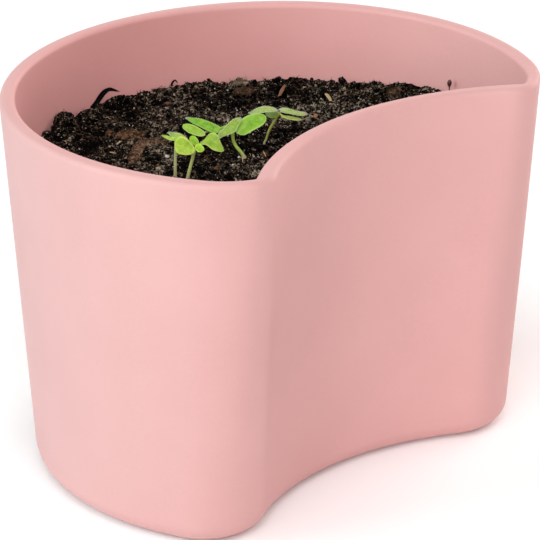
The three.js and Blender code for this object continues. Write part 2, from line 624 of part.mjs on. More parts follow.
// Curled strips of black leaf litter, standing on the compost by the wall.
function strip(points, widths, thick, facing) {
  const curve = new THREE.CatmullRomCurve3(
      points.map((p) => new THREE.Vector3(...p)),
    ),
    steps = 9,
    n = new THREE.Vector3(...facing).normalize(),
    rings = [];
  for (let i = 0; i <= steps; i++) {
    const u = i / steps,
      p = curve.getPoint(u),
      t = curve.getTangent(u);
    const side = new THREE.Vector3().crossVectors(t, n).normalize(),
      out = new THREE.Vector3().crossVectors(side, t).normalize();
    const f = u * (widths.length - 1),
      k = Math.min(widths.length - 2, Math.floor(f)),
      w = widths[k] + (widths[k + 1] - widths[k]) * (f - k);
    rings.push(
      [
        [-1, -1],
        [1, -1],
        [1, 1],
        [-1, 1],
      ].map(([a, b]) =>
        p
          .clone()
          .addScaledVector(side, (a * w) / 2)
          .addScaledVector(out, (b * thick) / 2),
      ),
    );
  }
  const positions = [],
    index = [];
  rings.flat().forEach((v) => positions.push(v.x, v.y, v.z));
  for (let r = 0; r < steps; r++)
    for (let i = 0; i < 4; i++) {
      const j = (i + 1) % 4;
      index.push(r * 4 + i, (r + 1) * 4 + j, r * 4 + j);
      index.push(r * 4 + i, (r + 1) * 4 + i, (r + 1) * 4 + j);
    }
  const e = steps * 4;
  index.push(0, 1, 2, 0, 2, 3, e, e + 2, e + 1, e, e + 3, e + 2);
  const g = new THREE.BufferGeometry();
  g.setAttribute("position", new THREE.Float32BufferAttribute(positions, 3));
  g.setIndex(index);
  const s = solid(g);
  return s.volume() < 0 ? flipped(g) : g;
}
function flipped(g) {
  const index = g.index.array.slice();
  for (let i = 0; i < index.length; i += 3)
    [index[i + 1], index[i + 2]] = [index[i + 2], index[i + 1]];
  g.setIndex(new THREE.BufferAttribute(index, 1));
  return g;
}
const standing = (g) =>
  geometryOf(mainBody(solid(g).intersect(insideWall).subtract(raisedSoil)));
const TOWARDS_FRONT_LEFT = [-0.69, -0.73, 0];
add(
  "leaf_curl_tall",
  standing(
    strip(
      [
        [-8.8, 60.5, 92.0],
        [-8.4, 60.1, 94.1],
        [-7.3, 59.1, 96.5],
        [-6.3, 58.1, 98.6],
        [-5.2, 57.1, 100.2],
        [-4.2, 56.1, 100.7],
        [-3.1, 55.1, 100.3],
        [-2.1, 54.2, 99.8],
      ],
      [1.0, 1.3, 1.6, 1.8, 1.6, 1.3, 0.9, 0.5],
      0.55,
      TOWARDS_FRONT_LEFT,
    ),
  ),
  0x171310,
  0.8,
);
add(
  "leaf_curl_small",
  standing(
    strip(
      [
        [22.2, 57.2, 92.2],
        [22.4, 57.1, 94.8],
        [22.8, 56.8, 96.0],
        [23.2, 56.4, 96.5],
        [23.6, 56.0, 96.2],
        [23.9, 55.7, 95.5],
      ],
      [0.9, 0.9, 0.9, 0.8, 0.7, 0.5],
      0.5,
      TOWARDS_FRONT_LEFT,
    ),
  ),
  0x1d1612,
  0.8,
);
const SEED_CASE = new THREE.Vector2(74.8, -15.4);
// A dry seed case standing on its stalk near the right-hand tip.
function seedCase() {
  const g = new THREE.LatheGeometry(
    [
      [0, 0],
      [0.28, 0],
      [0.28, 3.4],
      [0.62, 4.1],
      [0.8, 4.9],
      [0.6, 5.6],
      [0, 6.0],
    ].map(([x, y]) => new THREE.Vector2(x, y)),
    10,
  );
  g.rotateX(Math.PI / 2);
  for (const key of ["normal", "uv"]) g.deleteAttribute(key);
  const m = mergeVertices(g, 1e-4);
  m.translate(SEED_CASE.x, SEED_CASE.y, soilHeight(SEED_CASE.x, SEED_CASE.y) + 0.7);
  return m;
}
add("seed_case", seedCase(), 0x5a1f18, 0.6, [SEED_CASE.x, SEED_CASE.y, 96]);

export default group;
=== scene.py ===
import math

import bmesh
import bpy
import numpy as np
from mathutils import Matrix, Vector
from mathutils.geometry import delaunay_2d_cdt


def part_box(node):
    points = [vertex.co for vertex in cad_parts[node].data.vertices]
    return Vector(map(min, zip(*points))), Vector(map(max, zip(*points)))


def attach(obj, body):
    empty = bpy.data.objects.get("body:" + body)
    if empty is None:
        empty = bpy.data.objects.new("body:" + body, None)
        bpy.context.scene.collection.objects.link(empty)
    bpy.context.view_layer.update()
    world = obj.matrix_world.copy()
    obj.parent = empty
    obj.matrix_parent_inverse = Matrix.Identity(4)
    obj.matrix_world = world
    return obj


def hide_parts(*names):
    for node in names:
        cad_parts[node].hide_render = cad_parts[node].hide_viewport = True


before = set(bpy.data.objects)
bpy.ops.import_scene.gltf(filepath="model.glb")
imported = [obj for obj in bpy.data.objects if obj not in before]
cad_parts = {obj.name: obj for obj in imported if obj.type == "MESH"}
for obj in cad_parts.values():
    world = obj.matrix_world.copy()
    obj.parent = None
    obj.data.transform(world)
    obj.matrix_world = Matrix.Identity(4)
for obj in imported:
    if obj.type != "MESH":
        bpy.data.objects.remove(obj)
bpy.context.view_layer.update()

MM = 0.001
rng = np.random.default_rng(11)

# ---------------------------------------------------------------- the pot's outlines, mm
POT_HEIGHT = 118.25
ROUND_RADIUS = 82.5
DRAFT = 0.0635
WALL = 4.72
RIM_OUTER_ROUND = 1.9
RIM_INNER_ROUND = 1.5
FOOT_ROUND = 6.6
FOOT_RING = 7.6
RECESS = 1.2
FLOOR_TOP = 5.2
FLOOR_ROUND = 3.4
CENTRE_Y = -14.205
GAP = 0.35
SOIL_BOTTOM = FLOOR_TOP + GAP
SOIL_LEVEL = 93.4
ROOT_DEPTH = 24.0
OUTSIDE = {
    "foot": dict(scoop=77.18, distance=112.14, wide=16.4, tight=19.6, turn=0.527),
    "rim": dict(scoop=77.18, distance=112.14, wide=36.0, tight=9.6, turn=0.548),
}
HOLLOW = {
    "foot": dict(scoop=81.9, distance=112.14, wide=12.0, tight=14.0, turn=0.527),
    "rim": dict(scoop=88.04, distance=118.95, wide=22.8, tight=1.6, turn=0.563),
}


def polar(r, a):
    return np.array([r * math.cos(a), r * math.sin(a)])


def outline(round_r, tip, counts):
    """Anticlockwise from above: round side, left tip, scoop, right tip. counts is (round, wide, tight, scoop)."""
    scoop = np.array([0.0, -tip["distance"]])

    def centres(b):
        wide = polar(round_r - tip["wide"], -b)
        return wide, wide + polar(tip["wide"] - tip["tight"], -b - tip["turn"])

    low, high = 0.0, math.pi / 2
    for _ in range(50):
        b = (low + high) / 2
        if np.linalg.norm(centres(b)[1] - scoop) - tip["scoop"] - tip["tight"] > 0:
            low = b
        else:
            high = b
    b = low
    wide, tight = centres(b)
    to_scoop = math.atan2(*(scoop - tight)[::-1]) % (2 * math.pi)
    scoop_to = math.atan2(*(tight - scoop)[::-1]) % (2 * math.pi)
    turned = -b - tip["turn"]
    left = lambda v: np.array([-v[0], v[1]])
    nr, nw, nt, ns = counts

    def arc(c, r, start, end, count):
        t = start + (end - start) * np.arange(count) / count
        return np.c_[c[0] + r * np.cos(t), c[1] + r * np.sin(t)]

    pts = np.vstack([
        arc((0, 0), round_r, -b, math.pi + b, nr),
        arc(left(wide), tip["wide"], math.pi + b, math.pi - turned, nw),
        arc(left(tight), tip["tight"], math.pi - turned, 3 * math.pi - to_scoop, nt),
        arc(scoop, tip["scoop"], math.pi - scoop_to, scoop_to, ns),
        arc(tight, tip["tight"], to_scoop, 2 * math.pi + turned, nt),
        arc(wide, tip["wide"], 2 * math.pi + turned, 2 * math.pi - b, nw),
    ])
    pts[:, 1] += CENTRE_Y
    return pts


def outline_at(shape, round_r, z, inset, counts):
    w = z / POT_HEIGHT
    o = DRAFT * (POT_HEIGHT - z) + inset
    mix = lambda key: shape["rim"][key] * w + shape["foot"][key] * (1 - w)
    return outline(round_r - o, dict(
        scoop=mix("scoop") + o, distance=mix("distance"), wide=mix("wide") - inset,
        tight=max(0.3, mix("tight") - inset), turn=mix("turn")), counts)


POT_COUNTS = (240, 26, 22, 120)
SOIL_COUNTS = (330, 30, 12, 170)
outer_outline = lambda z, inset, c=POT_COUNTS: outline_at(OUTSIDE, ROUND_RADIUS, z, inset, c)
inner_outline = lambda z, inset, c=POT_COUNTS: outline_at(HOLLOW, ROUND_RADIUS - WALL, z, inset, c)


# ---------------------------------------------------------------- noise, without any library
def _hash(ix, iy, iz, seed):
    h = (ix * 374761393 + iy * 668265263 + iz * 2246822519 + seed * 3266489917) & 0xFFFFFFFF
    h = ((h ^ (h >> 13)) * 1274126177) & 0xFFFFFFFF
    return ((h ^ (h >> 16)) & 0xFFFFF) / 1048575.0


def vnoise(p, seed=0):
    """Smooth noise from -1 to 1 at the points p, shape (n, 3)."""
    i = np.floor(p).astype(np.int64)
    f = p - i
    u = f * f * (3 - 2 * f)
    total = np.zeros(len(p))
    for dx in (0, 1):
        for dy in (0, 1):
            for dz in (0, 1):
                w = ((u[:, 0] if dx else 1 - u[:, 0]) * (u[:, 1] if dy else 1 - u[:, 1])
                     * (u[:, 2] if dz else 1 - u[:, 2]))
                total += w * _hash(i[:, 0] + dx, i[:, 1] + dy, i[:, 2] + dz, seed)
    return 2 * total - 1


def fbm(p, octaves=4, seed=0, gain=0.5):
    total, amp, norm = np.zeros(len(p)), 1.0, 0.0
    for k in range(octaves):
        total += amp * vnoise(p * 2.03**k + 17.3 * k, seed + k)
        norm += amp
        amp *= gain
    return total / norm


def flat3(x, y, z=0.0):
    return np.c_[np.ravel(x), np.ravel(y), np.full(np.size(x), z)]


def worley(p, seed=0):
    """Distance to the nearest cell point and a random number of that cell, for p of shape (n, 3)."""
    i = np.floor(p).astype(np.int64)
    best, rnd = np.full(len(p), 9.0), np.zeros(len(p))
    for dx in (-1, 0, 1):
        for dy in (-1, 0, 1):
            for dz in (-1, 0, 1):
                c = i + np.array([dx, dy, dz])
                q = c + np.c_[_hash(c[:, 0], c[:, 1], c[:, 2], seed), _hash(c[:, 0], c[:, 1], c[:, 2], seed + 7),
                              _hash(c[:, 0], c[:, 1], c[:, 2], seed + 13)]
                d = np.linalg.norm(p - q, axis=1)
                near = d < best
                best = np.where(near, d, best)
                rnd = np.where(near, _hash(c[:, 0], c[:, 1], c[:, 2], seed + 29), rnd)
    return best, rnd


# ---------------------------------------------------------------- mesh helpers
class Mesh:
    """Vertices in mm and faces, gathered shell by shell, with named values per vertex."""

    def __init__(self, *names):
        self.v, self.f, self.count = [], [], 0
        self.names = names
        self.a = {n: [] for n in names}

    def add(self, verts, faces, **values):
        verts = np.asarray(verts, float)
        self.v.append(verts)
        self.f.extend((np.asarray(q, int) + self.count).tolist() if isinstance(q, np.ndarray) else [[i + self.count for i in g] for g in q] for q in ([faces] if isinstance(faces, np.ndarray) else [faces]))
        for n in self.names:
            x = values.get(n, 0.0)
            self.a[n].append(np.full(len(verts), x) if np.isscalar(x) else np.asarray(x, float))
        self.count += len(verts)
        return self

    def make(self, name, smooth=True):
        verts = np.vstack(self.v) * MM
        faces = [g for part in self.f for g in part]
        me = bpy.data.meshes.new(name)
        me.from_pydata(verts.tolist(), [], faces)
        if smooth:
            me.polygons.foreach_set("use_smooth", np.ones(len(me.polygons), bool))
        for n in self.names:
            at = me.attributes.new(n, "FLOAT", "POINT")
            at.data.foreach_set("value", np.concatenate(self.a[n]).astype(np.float32))
        me.update()
        ob = bpy.data.objects.new(name, me)
        bpy.context.scene.collection.objects.link(ob)
        return ob


def grid_faces(rows, n, start=0):
    """Quads between rows of n points that go round and close."""
    r = np.arange(rows - 1)[:, None] * n + start
    i = np.arange(n)[None, :]
    j = (i + 1) % n
    return np.stack([r + i, r + j, r + n + j, r + n + i], axis=-1).reshape(-1, 4)


def ico(level):
    bm = bmesh.new()
    bmesh.ops.create_icosphere(bm, subdivisions=level, radius=1.0)
    bm.verts.ensure_lookup_table()
    v = np.array([x.co[:] for x in bm.verts])
    f = np.array([[x.index for x in g.verts] for g in bm.faces])
    bm.free()
    return v, f


ICO = {k: ico(k) for k in (1, 2, 3, 4)}


def smooth_path(points, count):
    """Catmull-Rom through the points."""
    p = np.asarray(points, float)
    p = np.vstack([2 * p[0] - p[1], p, 2 * p[-1] - p[-2]])
    k = len(p) - 3
    out = []
    for s in np.linspace(0, k - 1e-9, count):
        i = int(s)
        t = s - i
        a, b, c, d = p[i:i + 4]
        out.append(0.5 * (2 * b + (c - a) * t + (2 * a - 5 * b + 4 * c - d) * t * t + (3 * b - a - 3 * c + d) * t**3))
    return np.array(out)


def tube(path, radii, sides=8, squeeze=1.0, up=None):
    """Closed tube along a path; its ends are domed. squeeze flattens it along the frame's second axis."""
    path, radii = np.asarray(path, float), np.asarray(radii, float)
    n = len(path)
    if np.isscalar(radii) or radii.ndim == 0:
        radii = np.full(n, float(radii))
    t = np.gradient(path, axis=0)
    t /= np.linalg.norm(t, axis=1)[:, None] + 1e-12
    u = np.array(up if up is not None else ([1.0, 0, 0] if abs(t[0, 0]) < 0.8 else [0, 1.0, 0]), float)
    rings = []
    ang = np.arange(sides) / sides * 2 * math.pi
    for i in range(n):
        u = u - t[i] * (u @ t[i])
        u /= np.linalg.norm(u) + 1e-12
        w = np.cross(t[i], u)
        rings.append(path[i] + radii[i] * (np.cos(ang)[:, None] * u + squeeze * np.sin(ang)[:, None] * w))
    v = np.vstack(rings + [path[0] - t[0] * radii[0] * 0.6, path[-1] + t[-1] * radii[-1] * 0.6])
    quads = grid_faces(n, sides).tolist()
    a, b = n * sides, n * sides + 1
    last = (n - 1) * sides
    for i in range(sides):
        j = (i + 1) % sides
        quads.append([j, i, a])
        quads.append([last + i, last + j, b])
    return v, quads


# ---------------------------------------------------------------- material helpers
class Nodes:
    def __init__(self, name):
        self.m = bpy.data.materials.new(name)
        self.m.use_nodes = True
        self.t = self.m.node_tree
        self.bsdf = self.t.nodes["Principled BSDF"]
        self.coord = None

    def new(self, kind, **props):
        n = self.t.nodes.new(kind)
        for k, v in props.items():
            if k in n.inputs and not hasattr(n, k):
                n.inputs[k].default_value = v
            else:
                setattr(n, k, v)
        return n

    def link(self, a, b):
        self.t.links.new(a, b)

    def object(self):
        if self.coord is None:
            self.coord = self.new("ShaderNodeTexCoord").outputs["Object"]
        return self.coord

    def noise(self, scale, detail=3.0, rough=0.55, distortion=0.0):
        n = self.new("ShaderNodeTexNoise")
        n.inputs["Scale"].default_value = scale
        n.inputs["Detail"].default_value = detail
        n.inputs["Roughness"].default_value = rough
        n.inputs["Distortion"].default_value = distortion
        self.link(self.object(), n.inputs["Vector"])
        return n.outputs["Fac"]

    def voronoi(self, scale, feature="F1", output="Distance", randomness=1.0):
        n = self.new("ShaderNodeTexVoronoi")
        n.feature = feature
        n.inputs["Scale"].default_value = scale
        n.inputs["Randomness"].default_value = randomness
        self.link(self.object(), n.inputs["Vector"])
        return n.outputs[output]

    def cell(self, scale, channel=0):
        """A random number from 0 to 1 that is constant in each small cell."""
        n = self.new("ShaderNodeSeparateColor")
        self.link(self.voronoi(scale, output="Color"), n.inputs[0])
        return n.outputs[channel]

    def ramp(self, fac, stops):
        n = self.new("ShaderNodeValToRGB")
        e = n.color_ramp.elements
        while len(e) < len(stops):
            e.new(0.5)
        for x, (pos, col) in zip(e, stops):
            x.position = pos
            x.color = (*col, 1.0) if len(col) == 3 else col
        self.link(fac, n.inputs["Fac"])
        return n.outputs["Color"]

    def range(self, fac, a, b, c, d, smooth=False):
        n = self.new("ShaderNodeMapRange")
        if smooth:
            n.interpolation_type = "SMOOTHSTEP"
        for k, x in zip(("From Min", "From Max", "To Min", "To Max"), (a, b, c, d)):
            n.inputs[k].default_value = x
        self.link(fac, n.inputs["Value"])
        return n.outputs["Result"]

    def math(self, op, a, b=None, clamp=False):
        n = self.new("ShaderNodeMath")
        n.operation = op
        n.use_clamp = clamp
        for k, x in enumerate((a, b)):
            if x is None:
                continue
            if isinstance(x, (int, float)):
                n.inputs[k].default_value = x
            else:
                self.link(x, n.inputs[k])
        return n.outputs[0]

    def mix(self, fac, a, b, blend="MIX"):
        n = self.new("ShaderNodeMix")
        n.data_type = "RGBA"
        n.blend_type = blend
        for sock, x in ((n.inputs[0], fac), (n.inputs[6], a), (n.inputs[7], b)):
            if isinstance(x, (int, float)):
                sock.default_value = x
            elif isinstance(x, tuple):
                sock.default_value = (*x, 1.0)
            else:
                self.link(x, sock)
        return n.outputs[2]

    def attribute(self, name):
        n = self.new("ShaderNodeAttribute")
        n.attribute_name = name
        return n.outputs["Fac"]

    def finish(self, color=None, rough=None, height=None, strength=0.3, distance=0.0002, **constants):
        if color is not None:
            self.link(color, self.bsdf.inputs["Base Color"])
        if isinstance(rough, (int, float)):
            self.bsdf.inputs["Roughness"].default_value = rough
        elif rough is not None:
            self.link(rough, self.bsdf.inputs["Roughness"])
        if height is not None:
            n = self.new("ShaderNodeBump")
            n.inputs["Strength"].default_value = strength
            n.inputs["Distance"].default_value = distance
            self.link(height, n.inputs["Height"])
            self.link(n.outputs["Normal"], self.bsdf.inputs["Normal"])
        for k, v in constants.items():
            self.bsdf.inputs[k.replace("_", " ")].default_value = v
        return self.m


# ---------------------------------------------------------------- materials
def pot_plastic():
    n = Nodes("pink_plastic")
    broad = n.noise(38, 3, 0.5)
    fine = n.noise(900, 3, 0.6)
    grain = n.noise(4200, 2, 0.6)
    c = n.ramp(broad, [(0.3, (0.705, 0.366, 0.350)), (0.7, (0.735, 0.389, 0.373))])
    c = n.mix(n.range(fine, 0.3, 0.7, 0.0, 0.22), c, (0.80, 0.43, 0.41))
    speck = n.range(n.voronoi(1500), 0.0, 0.14, 0.18, 0.0)
    c = n.mix(speck, c, (0.62, 0.28, 0.26))
    # painted bounce light: where 'inner' is 1 the plastic is multiplied redder, standing in for light bounced inside
    # the hollow
    c = n.mix(n.attribute("inner"), c, (1.14, 1.035, 1.025), "MULTIPLY")
    height = n.math("ADD", n.math("MULTIPLY", fine, 0.6), grain)
    return n.finish(c, n.range(fine, 0.25, 0.75, 0.60, 0.70), height, 0.16, 0.0001, Specular_IOR_Level=0.55)


PEAT = [(0.0, (0.0008, 0.0008, 0.0010)), (0.44, (0.0020, 0.0018, 0.0021)), (0.58, (0.0075, 0.0060, 0.0055)),
        (0.70, (0.032, 0.022, 0.015)), (0.83, (0.108, 0.076, 0.053)), (0.97, (0.41, 0.33, 0.24))]


def peat(name, lean):
    """Peat made of flakes of mixed tone. 'tone' moves a piece towards its lighter flakes; 'lit' is painted shade, low
    in the hollows, where it darkens the colour.
    """
    n = Nodes(name)
    lumps = n.noise(190, 4, 0.6)
    fine = n.noise(1500, 4, 0.7)
    f = n.math("MULTIPLY", n.cell(1750), 0.64)
    f = n.math("ADD", f, n.math("MULTIPLY", n.cell(760, 1), 0.24))
    f = n.math("ADD", f, n.math("MULTIPLY", lumps, 0.72))
    f = n.math("ADD", f, n.math("MULTIPLY", fine, 0.40))
    f = n.math("ADD", f, n.math("MULTIPLY", n.attribute("tone"), 0.42))
    f = n.math("ADD", f, lean, clamp=True)
    c = n.ramp(f, PEAT)
    grains = n.math("MULTIPLY", n.range(n.voronoi(1350), 0.24, 0.15, 0.0, 1.0), n.math("GREATER_THAN", n.cell(1350, 2), 0.88))
    c = n.mix(grains, c, (0.42, 0.37, 0.31))
    # painted shade: the colour goes towards black where 'lit' is low, in hollows, dents, round the stems and under
    # crumbs
    c = n.mix(n.range(n.attribute("lit"), 0.0, 1.0, 0.92, 0.0), c, (0.0010, 0.0008, 0.0008))
    height = n.math("ADD", n.math("MULTIPLY", lumps, 1.2), fine)
    return n.finish(c, n.range(fine, 0.3, 0.7, 0.80, 1.0), height, 0.9, 0.0006, Specular_IOR_Level=0.015)


def fibre_material(name, low, mid, high, scale=700):
    n = Nodes(name)
    fine = n.noise(scale, 4, 0.7)
    broad = n.noise(150, 2, 0.5)
    f = n.math("ADD", n.math("MULTIPLY", fine, 0.55), n.math("MULTIPLY", n.cell(1600), 0.42))
    c = n.ramp(f, [(0.22, tuple(0.25 * x for x in low)), (0.36, low), (0.52, mid), (0.70, high)])
    c = n.mix(n.range(broad, 0.4, 0.62, 0.0, 0.5, True), c, tuple(0.5 * x for x in mid))
    return n.finish(c, n.range(fine, 0.3, 0.7, 0.78, 1.0), fine, 0.9, 0.0006, Specular_IOR_Level=0.1)


def grain_material(name, low, mid, high, rough=0.7):
    """Wood or bark: streaks along the piece, from its own 'along' and 'across' values."""
    n = Nodes(name)
    v = n.new("ShaderNodeCombineXYZ")
    n.link(n.math("MULTIPLY", n.attribute("along"), 1.6), v.inputs[0])
    n.link(n.math("MULTIPLY", n.attribute("across"), 9.0), v.inputs[1])
    t = n.new("ShaderNodeTexNoise")
    t.inputs["Scale"].default_value = 1.5
    t.inputs["Detail"].default_value = 5
    n.link(v.outputs[0], t.inputs["Vector"])
    streak = t.outputs["Fac"]
    fine = n.noise(2600, 3, 0.6)
    c = n.ramp(streak, [(0.32, low), (0.5, mid), (0.68, high)])
    c = n.mix(n.range(fine, 0.45, 0.7, 0.0, 0.35), c, tuple(0.45 * x for x in mid))
    return n.finish(c, rough, n.math("ADD", streak, n.math("MULTIPLY", fine, 0.4)), 0.7, 0.0003, Specular_IOR_Level=0.35)


def stone_material():
    n = Nodes("mineral_grain")
    fine = n.noise(2300, 4, 0.7)
    c = n.ramp(fine, [(0.3, (0.42, 0.38, 0.33)), (0.55, (0.74, 0.70, 0.64)), (0.75, (0.9, 0.88, 0.84))])
    return n.finish(c, 0.75, fine, 0.6, 0.0002)


def litter_material():
    n = Nodes("black_leaf_litter")
    fine = n.noise(1200, 4, 0.6)
    c = n.ramp(fine, [(0.35, (0.0015, 0.0012, 0.0012)), (0.6, (0.005, 0.0034, 0.0028)), (0.8, (0.020, 0.011, 0.008))])
    return n.finish(c, n.range(fine, 0.3, 0.7, 0.45, 0.7), fine, 0.5, 0.0003, Specular_IOR_Level=0.08)


def husk_material():
    n = Nodes("seed_husk")
    fine = n.noise(1500, 4, 0.6)
    c = n.ramp(fine, [(0.35, (0.045, 0.010, 0.008)), (0.6, (0.095, 0.022, 0.016)), (0.8, (0.16, 0.05, 0.035))])
    return n.finish(c, n.range(fine, 0.3, 0.7, 0.42, 0.6), fine, 0.5, 0.0002)


def leaf_material(name, deep, mid, pale, hairy):
    """Leaf blade: 'edge' is 0 inside and 1 at the margin, 'side' is -1 to 1 across, 'length' is 0 at the base and 1 at the tip."""
    n = Nodes(name)
    edge, side, length = n.attribute("edge"), n.attribute("side"), n.attribute("length")
    blotch = n.noise(520, 3, 0.55)
    fine = n.noise(2600, 3, 0.6)
    c = n.ramp(blotch, [(0.3, deep), (0.55, mid), (0.8, tuple(0.5 * a + 0.5 * b for a, b in zip(mid, pale)))])
    a = n.math("ABSOLUTE", side)
    rib = n.range(a, 0.0, 0.13, 0.55 if hairy else 0.22, 0.0, True)
    # side veins run outwards and forwards from the rib
    phase = n.math("SUBTRACT", n.math("MULTIPLY", length, 7.0), n.math("MULTIPLY", a, 2.1))
    vein = n.math("MULTIPLY", n.range(n.math("ABSOLUTE", n.math("SUBTRACT", n.math("FRACT", phase), 0.5)), 0.0, 0.12, 0.32 if hairy else 0.10, 0.0, True),
                  n.range(a, 0.75, 0.95, 1.0, 0.0))
    light = n.math("MAXIMUM", rib, vein)
    c = n.mix(light, c, pale)
    c = n.mix(n.range(edge, 0.66, 1.0, 0.0, 0.75, True), c, pale)
    c = n.mix(n.range(fine, 0.5, 0.75, 0.0, 0.25), c, pale)
    foot = n.range(length, 0.22, 0.0, 0.0, 0.6, True)
    c = n.mix(foot, c, tuple(0.9 * x for x in pale))
    if hairy:
        c = n.mix(n.math("MULTIPLY", n.attribute("tipped"), n.range(length, 0.86, 0.98, 0.0, 0.9, True)), c, (0.42, 0.16, 0.04))
    tint = n.new("ShaderNodeCombineColor")
    for k, name_of in enumerate(("tint_r", "tint_g", "tint_b")):
        n.link(n.attribute(name_of), tint.inputs[k])
    c = n.mix(1.0, c, tint.outputs[0], "MULTIPLY")
    hair = n.attribute("hair")
    c = n.mix(n.math("MULTIPLY", hair, 0.85), c, (0.70, 0.75, 0.52))
    height = n.math("SUBTRACT", n.math("MULTIPLY", fine, 0.35), n.math("MULTIPLY", light, 0.8))
    m = n.finish(c, n.range(fine, 0.3, 0.7, 0.42, 0.58) if not hairy else n.range(fine, 0.3, 0.7, 0.55, 0.75), height, 0.5, 0.00012,
                 Specular_IOR_Level=0.4, Subsurface_Weight=0.25, Subsurface_Scale=0.0006)
    n.bsdf.inputs["Subsurface Radius"].default_value = (0.7, 1.0, 0.25)
    return m


def stem_material(name, tint):
    """Pale green above the compost, white to fawn where the root begins."""
    n = Nodes(name)
    up = n.attribute("height")
    fine = n.noise(1900, 3, 0.6)
    streak = n.noise(700, 2, 0.5)
    c = n.ramp(up, [(0.0, (0.56, 0.46, 0.30)), (0.50, (0.66, 0.58, 0.40)), (0.58, (0.40, 0.36, 0.16))] + [(at, tuple(min(0.9, x * y) for x, y in zip(rgb, tint))) for at, rgb in
                ((0.66, (0.42, 0.46, 0.15)), (0.85, (0.40, 0.50, 0.14)), (1.0, (0.34, 0.52, 0.09)))])
    c = n.mix(n.range(streak, 0.42, 0.66, 0.0, 0.30), c, tuple(min(0.9, x * y) for x, y in zip((0.56, 0.60, 0.28), tint)))
    c = n.mix(n.range(fine, 0.5, 0.75, 0.0, 0.3), c, (0.30, 0.33, 0.12))
    c = n.mix(n.math("MULTIPLY", n.attribute("hair"), 0.8), c, (0.66, 0.70, 0.46))
    return n.finish(c, n.range(fine, 0.3, 0.7, 0.45, 0.6), fine, 0.35, 0.00012, Specular_IOR_Level=0.4, Subsurface_Weight=0.2, Subsurface_Scale=0.0006)


M = dict(
    plastic=pot_plastic(), compost=peat("peat_compost", -0.622), crumb=peat("compost_crumb", -0.622),
    brown=fibre_material("brown_fibre", (0.022, 0.012, 0.008), (0.085, 0.046, 0.026), (0.20, 0.12, 0.066)),
    orange_brown=fibre_material("orange_brown_fibre", (0.035, 0.018, 0.010), (0.125, 0.062, 0.030), (0.26, 0.15, 0.08)),
    ridge=fibre_material("ridge_fibre", (0.035, 0.018, 0.012), (0.145, 0.080, 0.047), (0.33, 0.21, 0.13)),
    tan=fibre_material("tan_fibre", (0.085, 0.058, 0.034), (0.30, 0.22, 0.14), (0.58, 0.47, 0.33)),
    bark=grain_material("bark_grain", (0.06, 0.025, 0.012), (0.25, 0.115, 0.055), (0.56, 0.34, 0.19)),
    flake=grain_material("red_brown_flake", (0.05, 0.020, 0.012), (0.15, 0.070, 0.042), (0.32, 0.19, 0.12)),
    pale=grain_material("pale_wood_grain", (0.34, 0.20, 0.09), (0.64, 0.45, 0.22), (0.85, 0.68, 0.42)),
    orange=grain_material("orange_wood_grain", (0.16, 0.06, 0.025), (0.36, 0.15, 0.06), (0.55, 0.28, 0.13)),
    stone=stone_material(), litter=litter_material(), husk=husk_material(),
    stem_1=stem_material("stem_pale", (1.40, 1.36, 1.90)), stem_2=stem_material("stem_olive", (1.25, 1.27, 1.50)),
    stem_3=stem_material("stem_green", (1.06, 1.34, 0.72)), stem_4=stem_material("stem_dark", (0.80, 0.72, 0.42)),
    cotyledon=leaf_material("seed_leaf", (0.150, 0.32, 0.013), (0.27, 0.45, 0.024), (0.50, 0.62, 0.17), False),
    hairy=leaf_material("downy_leaf", (0.120, 0.285, 0.016), (0.25, 0.42, 0.035), (0.47, 0.57, 0.20), True),
    rootlet=fibre_material("fine_root", (0.10, 0.065, 0.04), (0.22, 0.16, 0.10), (0.42, 0.34, 0.24)),
)


def place(ob, body, slot, material, *nodes):
    ob.data.materials.append(M[material])
    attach(ob, body)
    if nodes:
        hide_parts(*nodes)
    return ob


